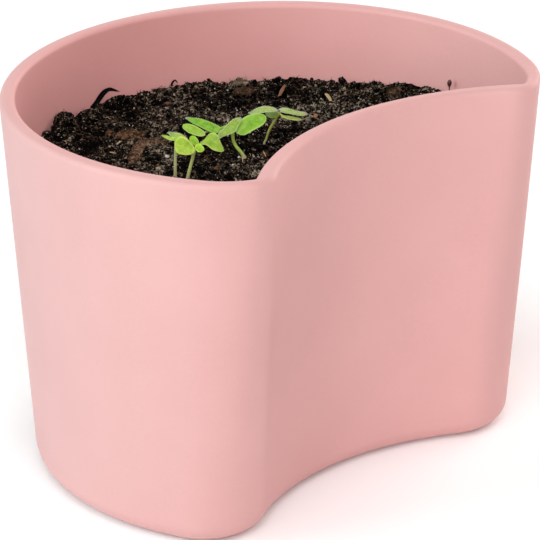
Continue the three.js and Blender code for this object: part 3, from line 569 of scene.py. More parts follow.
# ---------------------------------------------------------------- the pot
def make_pot():
    rings = []
    outer = lambda z, inset: rings.append(np.c_[outer_outline(z, inset), np.full(sum(POT_COUNTS) + POT_COUNTS[1] + POT_COUNTS[2], z)])
    inner = lambda z, inset: rings.append(np.c_[inner_outline(z, inset), np.full(sum(POT_COUNTS) + POT_COUNTS[1] + POT_COUNTS[2], z)])
    ring_inside = FOOT_ROUND + FOOT_RING
    base = outer_outline(0, ring_inside)
    n = len(base)
    for extra, z in ((1.5, RECESS), (0.9, RECESS), (0.6, RECESS - 0.12), (0.25, 0.35), (0.08, 0.08)):
        rings.append(np.c_[outer_outline(0, ring_inside + extra), np.full(n, z)])
    rings.append(np.c_[base, np.zeros(n)])
    rings.append(np.c_[outer_outline(0, FOOT_ROUND + FOOT_RING / 2), np.zeros(n)])
    for k in range(15):
        t = k / 14 * math.pi / 2
        outer(FOOT_ROUND * (1 - math.cos(t)), FOOT_ROUND * (1 - math.sin(t)))
    for z in np.linspace(FOOT_ROUND + 6, POT_HEIGHT - RIM_OUTER_ROUND - 1.2, 15):
        outer(z, 0)
    for k in range(10):
        t = k / 9 * math.pi / 2
        outer(POT_HEIGHT - RIM_OUTER_ROUND * (1 - math.sin(t)), RIM_OUTER_ROUND * (1 - math.cos(t)))
    for k in range(9):
        t = k / 8 * math.pi / 2
        inner(POT_HEIGHT - RIM_INNER_ROUND * (1 - math.cos(t)), -RIM_INNER_ROUND * (1 - math.sin(t)))
    for z in np.linspace(POT_HEIGHT - RIM_INNER_ROUND - 1.2, FLOOR_TOP + FLOOR_ROUND + 3, 15):
        inner(z, 0)
    for k in range(9):
        t = k / 8 * math.pi / 2
        inner(FLOOR_TOP + FLOOR_ROUND * (1 - math.sin(t)), FLOOR_ROUND * (1 - math.cos(t)))
    m = Mesh("inner")
    faces = grid_faces(len(rings), n).tolist()
    faces.append(list(range(n))[::-1])
    last = (len(rings) - 1) * n
    faces.append([last + i for i in range(n)])
    # painted bounce light: the hollow is tinted a shade redder than the outside, standing in for light bounced between
    # its walls; the pot is one plastic
    share = np.clip((np.arange(len(rings)) - (len(rings) - 33)) / 8, 0, 1)
    m.add(np.vstack(rings), faces, inner=np.repeat(share, n))
    return place(m.make("pot_moulding"), "pot", "pot_plastic", "plastic", "pot_shell")


make_pot()

# ---------------------------------------------------------------- the compost's surface
BUMPS = [(-22, 57, 1.3, 4.5), (2, 61, 2.1, 4), (33, 53, 0.6, 5), (40, 50, -1.5, 3.5), (50, 41, -1, 5), (59, 32, -0.9, 6),
         (68, 20, -2.4, 6), (72, 8, 0.4, 6), (71, -8, 1.6, 8), (-35, 52, 1.6, 5), (19, 59, 0.8, 5), (-50, 21, 0.8, 9), (-60, -9, -0.8, 10),
         (40, -19, 0.7, 9), (20, 26, 0.6, 7), (-15, 31, -0.6, 8)]
STEMS = {
    1: [(-28.7, -0.9, 94.0), (-28.7, -1.1, 99.1), (-28.6, -1.3, 103.3), (-28.6, -1.4, 105.4)],
    2: [(-26.8, -4.4, 93.8), (-26.3, -5.1, 97.3), (-25.9, -5.8, 100.2), (-25.7, -6.3, 102.4)],
    3: [(-4.0, -4.9, 94.3), (-4.5, -4.3, 95.6), (-5.2, -3.4, 97.0), (-5.7, -2.6, 98.3), (-6.0, -2.2, 100.0), (-5.9, -2.1, 101.9), (-5.2, -2.5, 104.2)],
    4: [(8.1, -1.0, 94.7), (8.7, -1.3, 95.9), (9.3, -1.7, 98.1), (10.1, -2.3, 100.1), (11.1, -3.0, 102.1), (12.0, -3.6, 104.1)],
}


def soil_base(x, y):
    z = SOIL_LEVEL + 0.018 * x + np.exp(-((x + 10) ** 2 + (y + 1) ** 2) / 1800)
    rough = (0.55 * np.sin(0.16 * x + 0.6) * np.cos(0.19 * y - 0.4) + 0.4 * np.sin(0.37 * x - 1.1 + 0.17 * y)
             + 0.3 * np.cos(0.51 * y + 0.23 * x))
    quiet = np.exp(-((x + 10) ** 2 / 800 + (y + 3) ** 2 / 128))
    z = z + rough * (1 - quiet)
    for bx, by, h, s in BUMPS:
        z = z + h * np.exp(-((x - bx) ** 2 + (y - by) ** 2) / (2 * s * s))
    return z


def crumble(x, y):
    """Height of the crumbs above or below the base surface, mm, and the part of it that is small crumbs."""
    q = flat3(x, y)
    warp = np.c_[fbm(q / 3.1, 2, 1), fbm(q / 3.1, 2, 5), np.zeros(len(q))]
    q = q + 0.9 * warp
    f, r = worley(q / 5.2 + 0.31, 3)
    big = np.clip(1 - (f / 0.72) ** 2, -0.4, 1) * (0.25 + 1.0 * r)
    f, r = worley(q / 2.3 + 0.13, 4)
    mid = np.clip(1 - (f / 0.72) ** 2, -0.5, 1) * (0.2 + 1.0 * r)
    f, r = worley(q / 1.15, 6)
    small = np.clip(1 - (f / 0.72) ** 2, -0.6, 1) * (0.2 + 0.9 * r)
    rough = 0.58 * mid + 0.46 * small + 0.34 * fbm(q / 0.8, 2, 15)
    return 0.85 * big + 0.75 * fbm(q / 9.0, 2, 9) - 0.75 + rough, rough


def soil_top(x, y):
    x, y = np.asarray(x, float), np.asarray(y, float)
    z = soil_base(x, y) + crumble(x, y)[0].reshape(np.shape(x))
    for pts in STEMS.values():
        r = np.hypot(x - pts[0][0], y - pts[0][1])
        near = np.clip((3.2 - r) / 2.2, 0, 1)
        z = z * (1 - near) + near * (pts[0][2] - 0.2 + 0.3 * (z - soil_base(x, y)))
    return z


EDGE = inner_outline(SOIL_LEVEL, GAP + 0.05, SOIL_COUNTS)


def inside(x, y, loop=EDGE):
    """True for points within a closed loop."""
    x, y = np.asarray(x, float), np.asarray(y, float)
    a, b = loop, np.roll(loop, -1, axis=0)
    rise = b[:, 1] - a[:, 1]
    rise = np.where(rise == 0, 1e-12, rise)
    slope = (b[:, 0] - a[:, 0]) / rise
    px, py = x.ravel(), y.ravel()
    result = np.zeros(px.size, bool)
    for s in range(0, px.size, 5000):
        qx, qy = px[s:s + 5000, None], py[s:s + 5000, None]
        passes = ((a[:, 1] > qy) != (b[:, 1] > qy)) & (qx < slope * (qy - a[:, 1]) + a[:, 0])
        result[s:s + 5000] = passes.sum(1) % 2 == 1
    return result.reshape(x.shape)


def make_compost():
    pitch = 0.535
    inner_edge = inner_outline(SOIL_LEVEL, GAP + 0.5, SOIL_COUNTS)
    xs = np.arange(-78, 78, pitch)
    ys = np.arange(-60, 70, pitch * 0.866)
    gx, gy = np.meshgrid(xs, ys)
    gx = gx + (np.arange(len(ys)) % 2)[:, None] * pitch / 2
    gx, gy = gx.ravel(), gy.ravel()
    keep = inside(gx, gy, inner_edge)
    gx, gy = gx[keep], gy[keep]
    gx = gx + rng.uniform(-0.16, 0.16, len(gx)) * pitch
    gy = gy + rng.uniform(-0.16, 0.16, len(gy)) * pitch
    # the compost's outline, then the grid points, triangulated with the outline kept as edges
    n = len(EDGE)
    pts = np.vstack([EDGE, np.c_[gx, gy]])
    edges = [(i, (i + 1) % n) for i in range(n)]
    verts, _, faces, orig, _, _ = delaunay_2d_cdt([Vector(p) for p in pts.tolist()], edges, [], 1, 1e-6)
    v2 = np.array([v[:] for v in verts])
    # the first point of the result that came from each boundary point
    index = {}
    for k, o in enumerate(orig):
        for i in o:
            if i < n:
                index[i] = k
    x, y = v2[:, 0], v2[:, 1]
    z = soil_top(x, y)
    for p in STEMS.values():
        r = np.hypot(x - p[0][0], y - p[0][1])
        z = z - 5.0 * np.clip((1.15 - r) / 0.45, 0, 1)
    on_edge = np.zeros(len(v2), bool)
    on_edge[[index[i] for i in range(n)]] = True
    sway = 0.34 * np.c_[fbm(flat3(x, y) / 0.9, 2, 31), fbm(flat3(x, y) / 0.9, 2, 41)]
    x = np.where(on_edge, x, x + sway[:, 0])
    y = np.where(on_edge, y, y + sway[:, 1])
    tri = [list(f) for f in faces]
    top = np.c_[x, y, z]
    # side: rows from just under the top edge to the bottom
    edge_z = z[[index[i] for i in range(n)]]
    rows = []
    for s in np.linspace(0.013, 1, 62):
        zz = edge_z * (1 - s) + (SOIL_BOTTOM + FLOOR_ROUND) * s
        mid = float(zz.mean())
        ring = inner_outline(mid, GAP + 0.05, SOIL_COUNTS)
        rows.append(np.c_[ring, zz])
    for k in range(1, 7):
        t = k / 6 * math.pi / 2
        zz = SOIL_BOTTOM + FLOOR_ROUND * (1 - math.sin(t))
        rows.append(np.c_[inner_outline(zz, FLOOR_ROUND * (1 - math.cos(t)) + GAP + 0.05, SOIL_COUNTS), np.full(n, zz)])
    side = np.vstack(rows)
    # crumble the side inwards only
    centre = np.array([0.0, 14.0, 0.0])
    out = side - centre
    out[:, 2] = 0
    out /= np.linalg.norm(out, axis=1)[:, None]
    f, r = worley(side / 4.4, 51)
    g, q = worley(side / 1.9, 53)
    dent = 0.9 * np.clip((f - 0.35) / 0.4, 0, 1) * (0.3 + r) + 0.5 * np.clip((g - 0.3) / 0.4, 0, 1) * (0.4 + q) + 0.35 * (1 + fbm(side / 1.1, 3, 55)) * 0.5
    depth = np.clip((edge_z.mean() - side[:, 2]) / 4, 0.25, 1) * np.clip((side[:, 2] - SOIL_BOTTOM) / 2.0, 0.0, 1)
    side -= out * (dent * depth)[:, None]
    m = Mesh("tone", "lit")
    all_v = np.vstack([top, side])
    base = len(top)
    rough = crumble(x, y)[1]
    tone = np.r_[np.clip(0.5 + 0.9 * fbm(flat3(x, y) / 13.0, 3, 71), 0, 1), np.clip(0.5 + 0.9 * fbm(side / 13.0, 3, 71), 0, 1)]
    # painted shade: 'lit' is low in the hollows between crumbs, in the dents of the side and round each stem
    lit = np.r_[np.clip(0.42 + 0.75 * rough, 0.0, 1.0), np.clip(0.95 - 0.75 * dent, 0.15, 1.0)]
    for p in STEMS.values():
        lit[:base] *= np.clip((np.hypot(x - p[0][0], y - p[0][1]) - 0.5) / 1.0, 0.05, 1)
    rowcount = len(rows)
    fs = tri
    ring0 = [index[i] for i in range(n)]
    for i in range(n):
        j = (i + 1) % n
        fs.append([base + i, base + j, ring0[j], ring0[i]])
    q4 = grid_faces(rowcount, n, base)
    fs.extend(q4[:, ::-1].tolist())
    last = base + (rowcount - 1) * n
    fs.append([last + i for i in range(n)][::-1])
    m.add(all_v, fs, tone=tone, lit=lit)
    ob = m.make("compost_block")
    bm = bmesh.new()
    bm.from_mesh(ob.data)
    bmesh.ops.recalc_face_normals(bm, faces=bm.faces)
    bm.to_mesh(ob.data)
    bm.free()
    return place(ob, "planting", "compost", "compost", "potting_compost")


make_compost()


def rotations(count, r):
    """Random rotation matrices, shape (count, 3, 3)."""
    q = r.normal(size=(count, 4))
    q /= np.linalg.norm(q, axis=1)[:, None]
    w, x, y, z = q.T
    return np.stack([
        np.stack([1 - 2 * (y * y + z * z), 2 * (x * y - z * w), 2 * (x * z + y * w)], -1),
        np.stack([2 * (x * y + z * w), 1 - 2 * (x * x + z * z), 2 * (y * z - x * w)], -1),
        np.stack([2 * (x * z - y * w), 2 * (y * z + x * w), 1 - 2 * (x * x + y * y)], -1)], -2)


def scatter(count, r, margin=1.0, edge_share=0.0, edge_width=9.0):
    """Points on the compost, with a share of them near the wall."""
    loop = inner_outline(SOIL_LEVEL, GAP + margin, SOIL_COUNTS)
    out = []
    while sum(map(len, out)) < count:
        x, y = r.uniform(-79, 79, count * 2), r.uniform(-60, 70, count * 2)
        ok = inside(x, y, loop)
        out.append(np.c_[x[ok], y[ok]])
    p = np.vstack(out)[:count]
    k = int(count * edge_share)
    if k:
        i = r.integers(0, len(loop), k)
        c = np.array([0.0, 14.0])
        f = r.uniform(0, 1, k)[:, None] ** 1.6 * edge_width
        d = c - loop[i]
        d /= np.linalg.norm(d, axis=1)[:, None]
        p[:k] = loop[i] + d * f
        ok = inside(p[:, 0], p[:, 1], loop)
        p = p[ok]
    return p


def near_stem(p, reach):
    d = np.full(len(p), 1e9)
    for s in STEMS.values():
        d = np.minimum(d, np.hypot(p[:, 0] - s[0][0], p[:, 1] - s[0][1]))
    return d < reach


def crumbs(name, count, low, high, level, seed, edge_share, rise, power=2.2, squash=0.75, smooth=True, jag=0.34, slot="compost"):
    r = np.random.default_rng(seed)
    p = scatter(count, r, high * 0.55, edge_share)
    u = r.uniform(0, 1, len(p))
    size = (low ** (1 - power) + u * (high ** (1 - power) - low ** (1 - power))) ** (1 / (1 - power))
    ok = ~near_stem(p, 1.6) | (size < 0.5)
    ok &= ~near_stem(p, 1.1)
    p, size = p[ok], size[ok]
    tv, tf = ICO[level]
    variants = []
    for k in range(18):
        d = 1 + jag * fbm(tv * 1.6 + 9.7 * k + seed, 3, 60 + k) + 0.45 * jag * vnoise(tv * 4.3 + 3.1 * k, 80 + k)
        variants.append(tv * d[:, None] * r.uniform(0.55, 1.3, 3))
    m = Mesh("tone", "lit")
    rot = rotations(len(p), r)
    top = soil_top(p[:, 0], p[:, 1])
    kind = r.integers(0, len(variants), len(p))
    tone = np.clip(r.beta(1.3, 1.5, len(p)) + 0.5 * fbm(flat3(p[:, 0], p[:, 1]) / 11.0, 2, 71), 0, 1)
    vs, fs, ts, ls = [], [], [], []
    for i in range(len(p)):
        v = variants[kind[i]] @ rot[i].T
        v[:, 2] *= squash
        v = v * size[i] / 2
        # painted shade: the lower part of each crumb gets a low 'lit', so it is darker
        ls.append(np.clip(0.62 + 0.95 * v[:, 2] / size[i], 0.05, 1))
        v += [p[i, 0], p[i, 1], top[i] + rise * size[i] / 2]
        vs.append(v)
        fs.append(tf + i * len(tv))
        ts.append(np.full(len(tv), tone[i]))
    m.add(np.vstack(vs), np.vstack(fs), tone=np.concatenate(ts), lit=np.concatenate(ls))
    return place(m.make(name, smooth), "planting", slot, "crumb")


crumbs("compost_lumps", 300, 1.9, 4.6, 3, 21, 0.34, 0.18, 2.8, jag=0.55)
crumbs("compost_crumbs", 2350, 0.8, 2.1, 2, 22, 0.20, 0.45, 2.3, smooth=False, jag=0.5)
crumbs("compost_fines", 9300, 0.35, 0.95, 1, 23, 0.10, 0.75, 1.7, smooth=False, jag=0.4)


def fibres(name, count, low, high, thick, seed, material, slot, sides=4, rise=0.35, edge_share=0.15):
    r = np.random.default_rng(seed)
    p = scatter(count, r, 2.2, edge_share)
    p = p[~near_stem(p, 2.0)]
    loop = inner_outline(SOIL_LEVEL, GAP + 0.8, SOIL_COUNTS)
    k, n = 7, len(p)
    length = low * (high / low) ** r.uniform(0, 1, n)
    a = r.uniform(0, 2 * math.pi, n)[:, None] + np.cumsum(r.normal(0, 0.32, (n, k)), axis=1)
    step = (length / (k - 1))[:, None]
    xs = p[:, :1] + np.cumsum(np.cos(a), axis=1) * step
    ys = p[:, 1:] + np.cumsum(np.sin(a), axis=1) * step
    ok = inside(xs, ys, loop).all(1)
    xs, ys, length = xs[ok], ys[ok], length[ok]
    zs = soil_top(xs.ravel(), ys.ravel()).reshape(xs.shape)
    u = np.linspace(0, 1, k)
    m = Mesh("along", "across")
    for x, y, z, l in zip(xs, ys, zs, length):
        z = np.maximum(z, np.convolve(np.pad(z, 1, mode="edge"), [0.3, 0.4, 0.3], "valid"))
        z = z + rise * r.uniform(0.1, 1.0) + r.uniform(0, 0.8) * np.sin(math.pi * u) ** 2 + (r.uniform(0, 1.2) * u**3 if r.uniform() < 0.3 else 0)
        radius = thick * r.uniform(0.6, 1.5) * (1 - 0.55 * np.abs(2 * u - 1) ** 2.5)
        v, f = tube(np.c_[x, y, z], radius, sides)
        m.add(v, f, along=np.r_[np.repeat(u, sides), 0, 1] * l, across=np.r_[np.tile(np.arange(sides) / sides, k), 0, 0])
    return place(m.make(name), "planting", slot, material)


fibres("dark_fibres", 700, 1.2, 5.0, 0.085, 30, "litter", "compost", rise=0.5)
fibres("brown_fibres", 620, 1.5, 7.0, 0.085, 31, "brown", "brown_fibre", rise=0.5)
fibres("pale_rootlets", 420, 0.9, 5.0, 0.05, 32, "rootlet", "brown_fibre", rise=0.6)


def tufts(name, count, seed, material, slot):
    """Short fibres that stand up along the wall, more of them on the round side."""
    r = np.random.default_rng(seed)
    loop = inner_outline(SOIL_LEVEL, GAP + 0.7, SOIL_COUNTS)
    m = Mesh("along", "across")
    i = r.integers(0, len(loop), count * 4)
    i = i[(loop[i, 1] > -8) | (r.uniform(0, 1, len(i)) > 0.8)]
    d = np.array([0.0, 14.0]) - loop[i]
    d /= np.linalg.norm(d, axis=1)[:, None]
    foot = loop[i] + d * (r.uniform(0.3, 1, len(i)) ** 2 * 8.0)[:, None]
    k = 6
    u = np.linspace(0, 1, k)
    length = r.uniform(0.7, 2.3, len(i))
    lean, curl = r.normal(0, 0.65, (len(i), 2, 1)) * 0.6, r.normal(0, 0.35, (len(i), 2, 1))
    path = foot[:, :, None] + length[:, None, None] * (lean * u + curl * u * u)
    ok = inside(path[:, 0], path[:, 1], loop).all(1)
    path, foot, length = path[ok][:count], foot[ok][:count], length[ok][:count]
    z0 = soil_top(foot[:, 0], foot[:, 1]) - 0.25
    for q, z, l in zip(path, z0, length):
        line = np.c_[q[0], q[1], z + l * 0.8 * u]
        v, f = tube(line, r.uniform(0.06, 0.13) * (1 - 0.6 * u), 4)
        m.add(v, f, along=np.r_[np.repeat(u, 4), 0, 1] * l, across=np.r_[np.tile(np.arange(4) / 4, k), 0, 0])
        if r.uniform() < 0.4:
            side = np.array([r.normal(0, 0.6), r.normal(0, 0.6), r.uniform(0.2, 0.8)]) * l * 0.45
            twig = line[3] + side * np.linspace(0, 1, 4)[:, None]
            if inside(twig[-1:, 0], twig[-1:, 1], loop).all():
                v, f = tube(twig, 0.06 * (1 - 0.5 * np.linspace(0, 1, 4)), 4)
                m.add(v, f)
    return place(m.make(name), "planting", slot, material)


tufts("dark_tufts", 420, 33, "litter", "compost")
tufts("brown_tufts", 200, 34, "brown", "brown_fibre")


def specks():
    r = np.random.default_rng(41)
    p = scatter(1000, r, 0.9, 0.1)
    p = p[~near_stem(p, 1.2)]
    size = 0.15 * (2.9) ** (r.uniform(0, 1, len(p)) ** 2.6)
    top = soil_top(p[:, 0], p[:, 1])
    rot = rotations(len(p), r)
    tv, tf = ICO[1]
    vs, fs = [], []
    for i in range(len(p)):
        v = (tv * (1 + 0.35 * r.normal(size=(len(tv), 1)).clip(-1, 1))) @ rot[i].T * size[i] * r.uniform(0.7, 1.3, 3) / 1.6
        v += [p[i, 0], p[i, 1], top[i] + size[i] * 0.8 + 0.25]
        vs.append(v)
        fs.append(tf + i * len(tv))
    m = Mesh()
    m.add(np.vstack(vs), np.vstack(fs))
    return place(m.make("mineral_specks", smooth=False), "planting", "mineral", "stone")


specks()


def side_roots():
    """Fine roots and fibres that show on the sides of the compost once it is out of the pot."""
    r = np.random.default_rng(51)
    m = Mesh("along", "across")
    for _ in range(150):
        s = r.uniform(0, 1)
        z = r.uniform(12, 88)
        k = 10
        length = r.uniform(6, 26)
        drift = r.uniform(-1, 1)
        zs = z - np.cumsum(np.abs(r.normal(0.6, 0.5, k))) * length / k * 0.8
        zs = np.clip(zs, 9.5, 90)
        ss = s + np.cumsum(r.normal(drift, 0.8, k)) * length / k / 480
        pts = []
        for a, b in zip(ss, zs):
            ring = inner_outline(b, GAP + 0.28, SOIL_COUNTS)
            i = (a % 1) * len(ring)
            j = int(i)
            pts.append([*(ring[j] * (1 - i + j) + ring[(j + 1) % len(ring)] * (i - j)), b])
        pts = smooth_path(pts, 22)
        u = np.linspace(0, 1, 22)
        v, f = tube(pts, 0.11 * (1.15 - u) * r.uniform(0.6, 1.4), 4)
        m.add(v, f, along=np.r_[np.repeat(u, 4), 0, 1] * length, across=np.r_[np.tile(np.arange(4) / 4, 22), 0, 0])
    return place(m.make("side_rootlets"), "planting", "brown_fibre", "rootlet")


side_roots()


# ---------------------------------------------------------------- loose matter
def lump(m, centre, size, turn, seed, level=4, rough=0.30, fine=0.16, tone=0.35):
    v, f = ICO[level]
    d = 1 + rough * fbm(v * 1.7 + seed * 3.1, 3, seed) + fine * fbm(v * 6.3 + seed, 3, seed + 5)
    w, r = worley(v * 2.4 + seed, seed + 9)
    d = d - 0.10 * np.clip((w - 0.45) / 0.3, 0, 1)
    v = v * d[:, None] * np.array(size) / 2
    a = math.radians(turn)
    v = v @ np.array([[math.cos(a), math.sin(a), 0], [-math.sin(a), math.cos(a), 0], [0, 0, 1]])
    # painted shade: the lower part of each lump gets a low 'lit', so it is darker
    m.add(v + np.array(centre), f, tone=tone, lit=np.clip(0.55 + 0.9 * v[:, 2] / size[2], 0.1, 1))


def bristles(m, centre, size, count, seed, length=(0.8, 2.6), thick=0.07):
    """Short fibres that lie over a lump and stick out of it."""
    r = np.random.default_rng(seed)
    for _ in range(count):
        d = r.normal(size=3)
        d[2] = abs(d[2]) * 0.9 + 0.15
        d /= np.linalg.norm(d)
        p = np.array(centre) + d * np.array(size) / 2 * r.uniform(0.86, 1.04)
        t = np.cross(d, r.normal(size=3))
        t = t / np.linalg.norm(t) + d * r.uniform(0.0, 0.5)
        l = r.uniform(*length)
        u = np.linspace(0, 1, 5)[:, None]
        bend = np.cross(t, d) * r.normal(0, 0.3)
        path = p + t * u * l + bend * u * u * l - d * 0.12 * l * u * u
        v, f = tube(path, thick * r.uniform(0.6, 1.5) * (1 - 0.6 * u[:, 0]), 4)
        m.add(v, f, tone=0.8, lit=1.0)


def on_top(x, y, up=0.0):
    return [x, y, float(soil_top(np.array([x]), np.array([y]))[0]) + up]


RIDGE = [(-29.2, 19.0), (-24.8, 21.2), (-20.6, 24.0), (-17.0, 25.9), (-13.1, 25.1), (-11.0, 22.9)]


def clods():
    m = Mesh("tone", "lit")
    lump(m, [-24.1, 55.8, 95.6], [8.6, 6.0, 5.0], 40, 3)
    lump(m, [-28.6, 53.0, 94.9], [5.0, 4.0, 3.2], 10, 6)
    bristles(m, [-24.1, 55.4, 95.8], [8.0, 5.8, 4.8], 40, 61)
    place(m.make("dark_clump_left"), "planting", "compost", "compost", "soil_clump_left")
    m = Mesh("tone", "lit")
    lump(m, [-14.6, 54.0, 95.0], [8.2, 5.8, 4.2], -20, 4)
    lump(m, [-10.2, 55.4, 94.6], [4.4, 3.6, 2.8], 0, 8)
    bristles(m, [-14.6, 53.8, 95.2], [7.8, 5.4, 4.0], 24, 62)
    place(m.make("dark_clump_back"), "planting", "compost", "compost", "soil_clump_back")
    m = Mesh()
    lump(m, on_top(-14.2, 34.9, 0.75), [8.0, 6.2, 4.2], -43, 5, rough=0.34)
    lump(m, on_top(-11.6, 32.8, 0.5), [3.8, 3.2, 2.6], 10, 7, level=3)
    lump(m, on_top(-15.4, 38.4, 0.4), [3.6, 2.8, 2.2], 10, 9, level=3)
    bristles(m, on_top(-14.2, 34.9, 0.75), [7.8, 6.1, 4.1], 100, 63, (0.6, 1.8), 0.06)
    place(m.make("orange_brown_clod"), "planting", "brown_fibre", "orange_brown", "brown_clod")
    m = Mesh()
    path = smooth_path(RIDGE, 40)
    r = np.random.default_rng(64)
    z = soil_top(path[:, 0], path[:, 1])
    u = np.linspace(0, 1, 40)
    z = np.convolve(np.pad(z, 3, mode="edge"), np.ones(7) / 7, "valid") + 0.55
    v, f = tube(np.c_[path, z], 2.45 * np.sin(math.pi * np.clip(0.05 + 0.9 * u, 0, 1)) ** 0.6 * (1 + 0.22 * vnoise(flat3(u * 9, 0 * u), 66)), 18, squeeze=0.72, up=[0.5, -0.5, 0])
    d = fbm(v / 0.9, 3, 65)
    c = np.vstack([np.repeat(np.c_[path, z], 18, axis=0), v[-2:]])
    v = v + (v - c) * (0.40 * d)[:, None]
    m.add(v, f)
    for k in range(110):
        i = r.integers(2, 36)
        s = np.array([*path[i], z[i] + 1.65])
        t = np.array([*(path[i + 2] - path[i]), 0.0])
        t /= np.linalg.norm(t)
        w = np.cross(t, [0, 0, 1])
        off = w * r.uniform(-1.7, 1.7)
        s = s + off + [0, 0, -0.5 * abs(off @ w)]
        l = r.uniform(1.2, 3.4)
        q = np.linspace(0, 1, 5)[:, None]
        v, f = tube(s + t * q * l + w * q * q * r.normal(0, 0.4) + [0, 0, 0.25] * np.sin(q * 3), 0.08 * (1 - 0.5 * q[:, 0]), 4)
        m.add(v, f)
    place(m.make("brown_fibre_ridge"), "planting", "brown_fibre", "ridge", "brown_ridge")
    m = Mesh()
    lump(m, on_top(36.2, 37.1, 0.5), [8.4, 5.4, 3.0], -43, 11)
    bristles(m, on_top(36.2, 37.1, 0.5), [8.4, 5.4, 3.0], 60, 67)
    place(m.make("brown_fibre_clod"), "planting", "brown_fibre", "brown", "fibre_clod_back")
    m = Mesh()
    lump(m, on_top(-17.2, 41.9, 0.5), [3.4, 3.0, 2.4], 20, 16, level=3)
    bristles(m, on_top(-17.2, 41.9, 0.5), [3.3, 2.9, 2.3], 26, 71, (0.6, 1.5), 0.05)
    lump(m, on_top(-16.0, -5.6, 0.4), [2.9, 2.2, 1.8], -43, 17, level=3)
    bristles(m, on_top(-16.0, -5.6, 0.4), [2.8, 2.1, 1.7], 22, 72, (0.6, 1.6), 0.05)
    lump(m, on_top(-13.3, 0.8, 0.3), [2.3, 2.2, 1.3], -43, 18, level=3)
    bristles(m, on_top(-13.3, 0.8, 0.3), [2.4, 2.2, 1.4], 26, 73, (0.8, 1.9), 0.07)
    place(m.make("brown_crumbs"), "planting", "brown_fibre", "orange_brown")
    m = Mesh()
    lump(m, on_top(38.2, 41.6, 0.7), [5.4, 2.6, 1.5], -43, 12, level=3)
    bristles(m, on_top(38.2, 41.6, 0.75), [5.6, 2.8, 1.7], 90, 68, (0.7, 2.2), 0.08)
    place(m.make("tan_fibre_patch"), "planting", "brown_fibre", "tan")
    m = Mesh()
    lump(m, on_top(67.8, 1.2, 0.6), [7.2, 5.0, 3.2], 40, 13)
    bristles(m, on_top(67.8, 1.2, 0.6), [7.2, 5.0, 3.2], 70, 69)
    place(m.make("brown_fibre_mound"), "planting", "brown_fibre", "brown", "fibre_clod_right")
    m = Mesh()
    lump(m, on_top(1.4, -8.4, 0.35), [2.6, 2.1, 1.7], 10, 14, level=3)
    lump(m, on_top(3.1, -7.2, 0.2), [1.6, 1.2, 1.1], 30, 15, level=3)
    bristles(m, on_top(1.4, -8.4, 0.35), [2.5, 2.0, 1.6], 16, 70, (0.6, 1.8), 0.05)
    place(m.make("front_crumb"), "planting", "brown_fibre", "orange_brown", "soil_crumb_front")


clods()


def chip(name, node, centre, length, width, thick, turn, tilt, bend, seed, slot, material, ends=0.35):
    """A torn flake with grain along it: a closed grid with ragged ends, bent along its length."""
    nu, nv = 30, 10
    u = np.linspace(-1, 1, nu)
    rows = []
    r = np.random.default_rng(seed)
    edge_a, edge_b = fbm(flat3(u * 3.1, 0 * u), 3, seed), fbm(flat3(u * 3.1, 0 * u + 5), 3, seed + 1)
    for i, s in enumerate(u):
        half = width / 2 * (1 - ends * abs(s) ** 2.2)
        lo, hi = -half * (1 + 0.25 * edge_a[i]), half * (1 + 0.25 * edge_b[i])
        t = np.linspace(0, 1, nv)
        across = lo + (hi - lo) * t
        ragged = 0.10 * length * (abs(s) > 0.8) * fbm(flat3(t * 4, 0 * t + s), 3, seed + 2) * np.sign(s)
        along = s * length / 2 + ragged
        th = thick / 2 * np.clip(1.15 - abs(s) ** 4, 0.3, 1) * np.sin(math.pi * np.clip(t, 0.06, 0.94)) ** 0.35
        zc = bend * (1 - s * s) + 0.10 * thick * fbm(flat3(across * 6, 0 * across + s), 2, seed + 3)
        ring_top = np.c_[along, across, zc + th * (1 + 0.3 * fbm(flat3(across * 8, 0 * across + s * 1.5), 3, seed + 4))]
        ring_low = np.c_[along, across, zc - th * (1 + 0.3 * fbm(flat3(across * 8, 0 * across + s * 1.5), 3, seed + 5))][::-1]
        rows.append(np.vstack([ring_top, ring_low]))
    n = 2 * nv
    v = np.vstack(rows)
    f = grid_faces(nu, n).tolist()
    f.append(list(range(n))[::-1])
    f.append([(nu - 1) * n + i for i in range(n)])
    a, b = math.radians(tilt), math.radians(turn)
    ry = np.array([[math.cos(a), 0, -math.sin(a)], [0, 1, 0], [math.sin(a), 0, math.cos(a)]])
    rz = np.array([[math.cos(b), -math.sin(b), 0], [math.sin(b), math.cos(b), 0], [0, 0, 1]])
    along, across = v[:, 0].copy(), v[:, 1].copy()
    v = v @ ry.T @ rz.T + np.array(centre)
    m = Mesh("along", "across")
    m.add(v, f, along=along, across=across)
    return place(m.make(name), "planting", slot, material, *([node] if node else []))


def middle(node):
    lo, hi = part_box(node)
    return np.array((lo + hi) / 2) * 1000


chip("thin_bark_chip", "bark_chip", middle("bark_chip") - [0, 0, 0.1], 7.2, 1.15, 0.45, 31, 10, 0.2, 81, "bark", "bark")
chip("bent_wood_chip", "wood_chip", middle("wood_chip"), 4.1, 1.15, 0.40, 70, 15, 0.30, 82, "pale_wood", "pale")
chip("orange_wood_chip", "orange_chip", middle("orange_chip"), 1.9, 1.25, 0.7, 25, 10, 0.1, 83, "orange_wood", "orange")
chip("pale_splinter_upper", "splinter_upper", middle("splinter_upper"), 1.8, 0.5, 0.32, 5, 18, 0.05, 84, "pale_wood", "pale", 0.6)
chip("pale_splinter_lower", "splinter_lower", middle("splinter_lower"), 2.1, 0.5, 0.32, -62, -4, 0.05, 85, "pale_wood", "pale", 0.6)


chip("brown_flake", None, on_top(11.2, 46.8, 0.9), 2.7, 2.3, 0.35, -43, 12, 0.35, 86, "bark", "flake", 0.5)


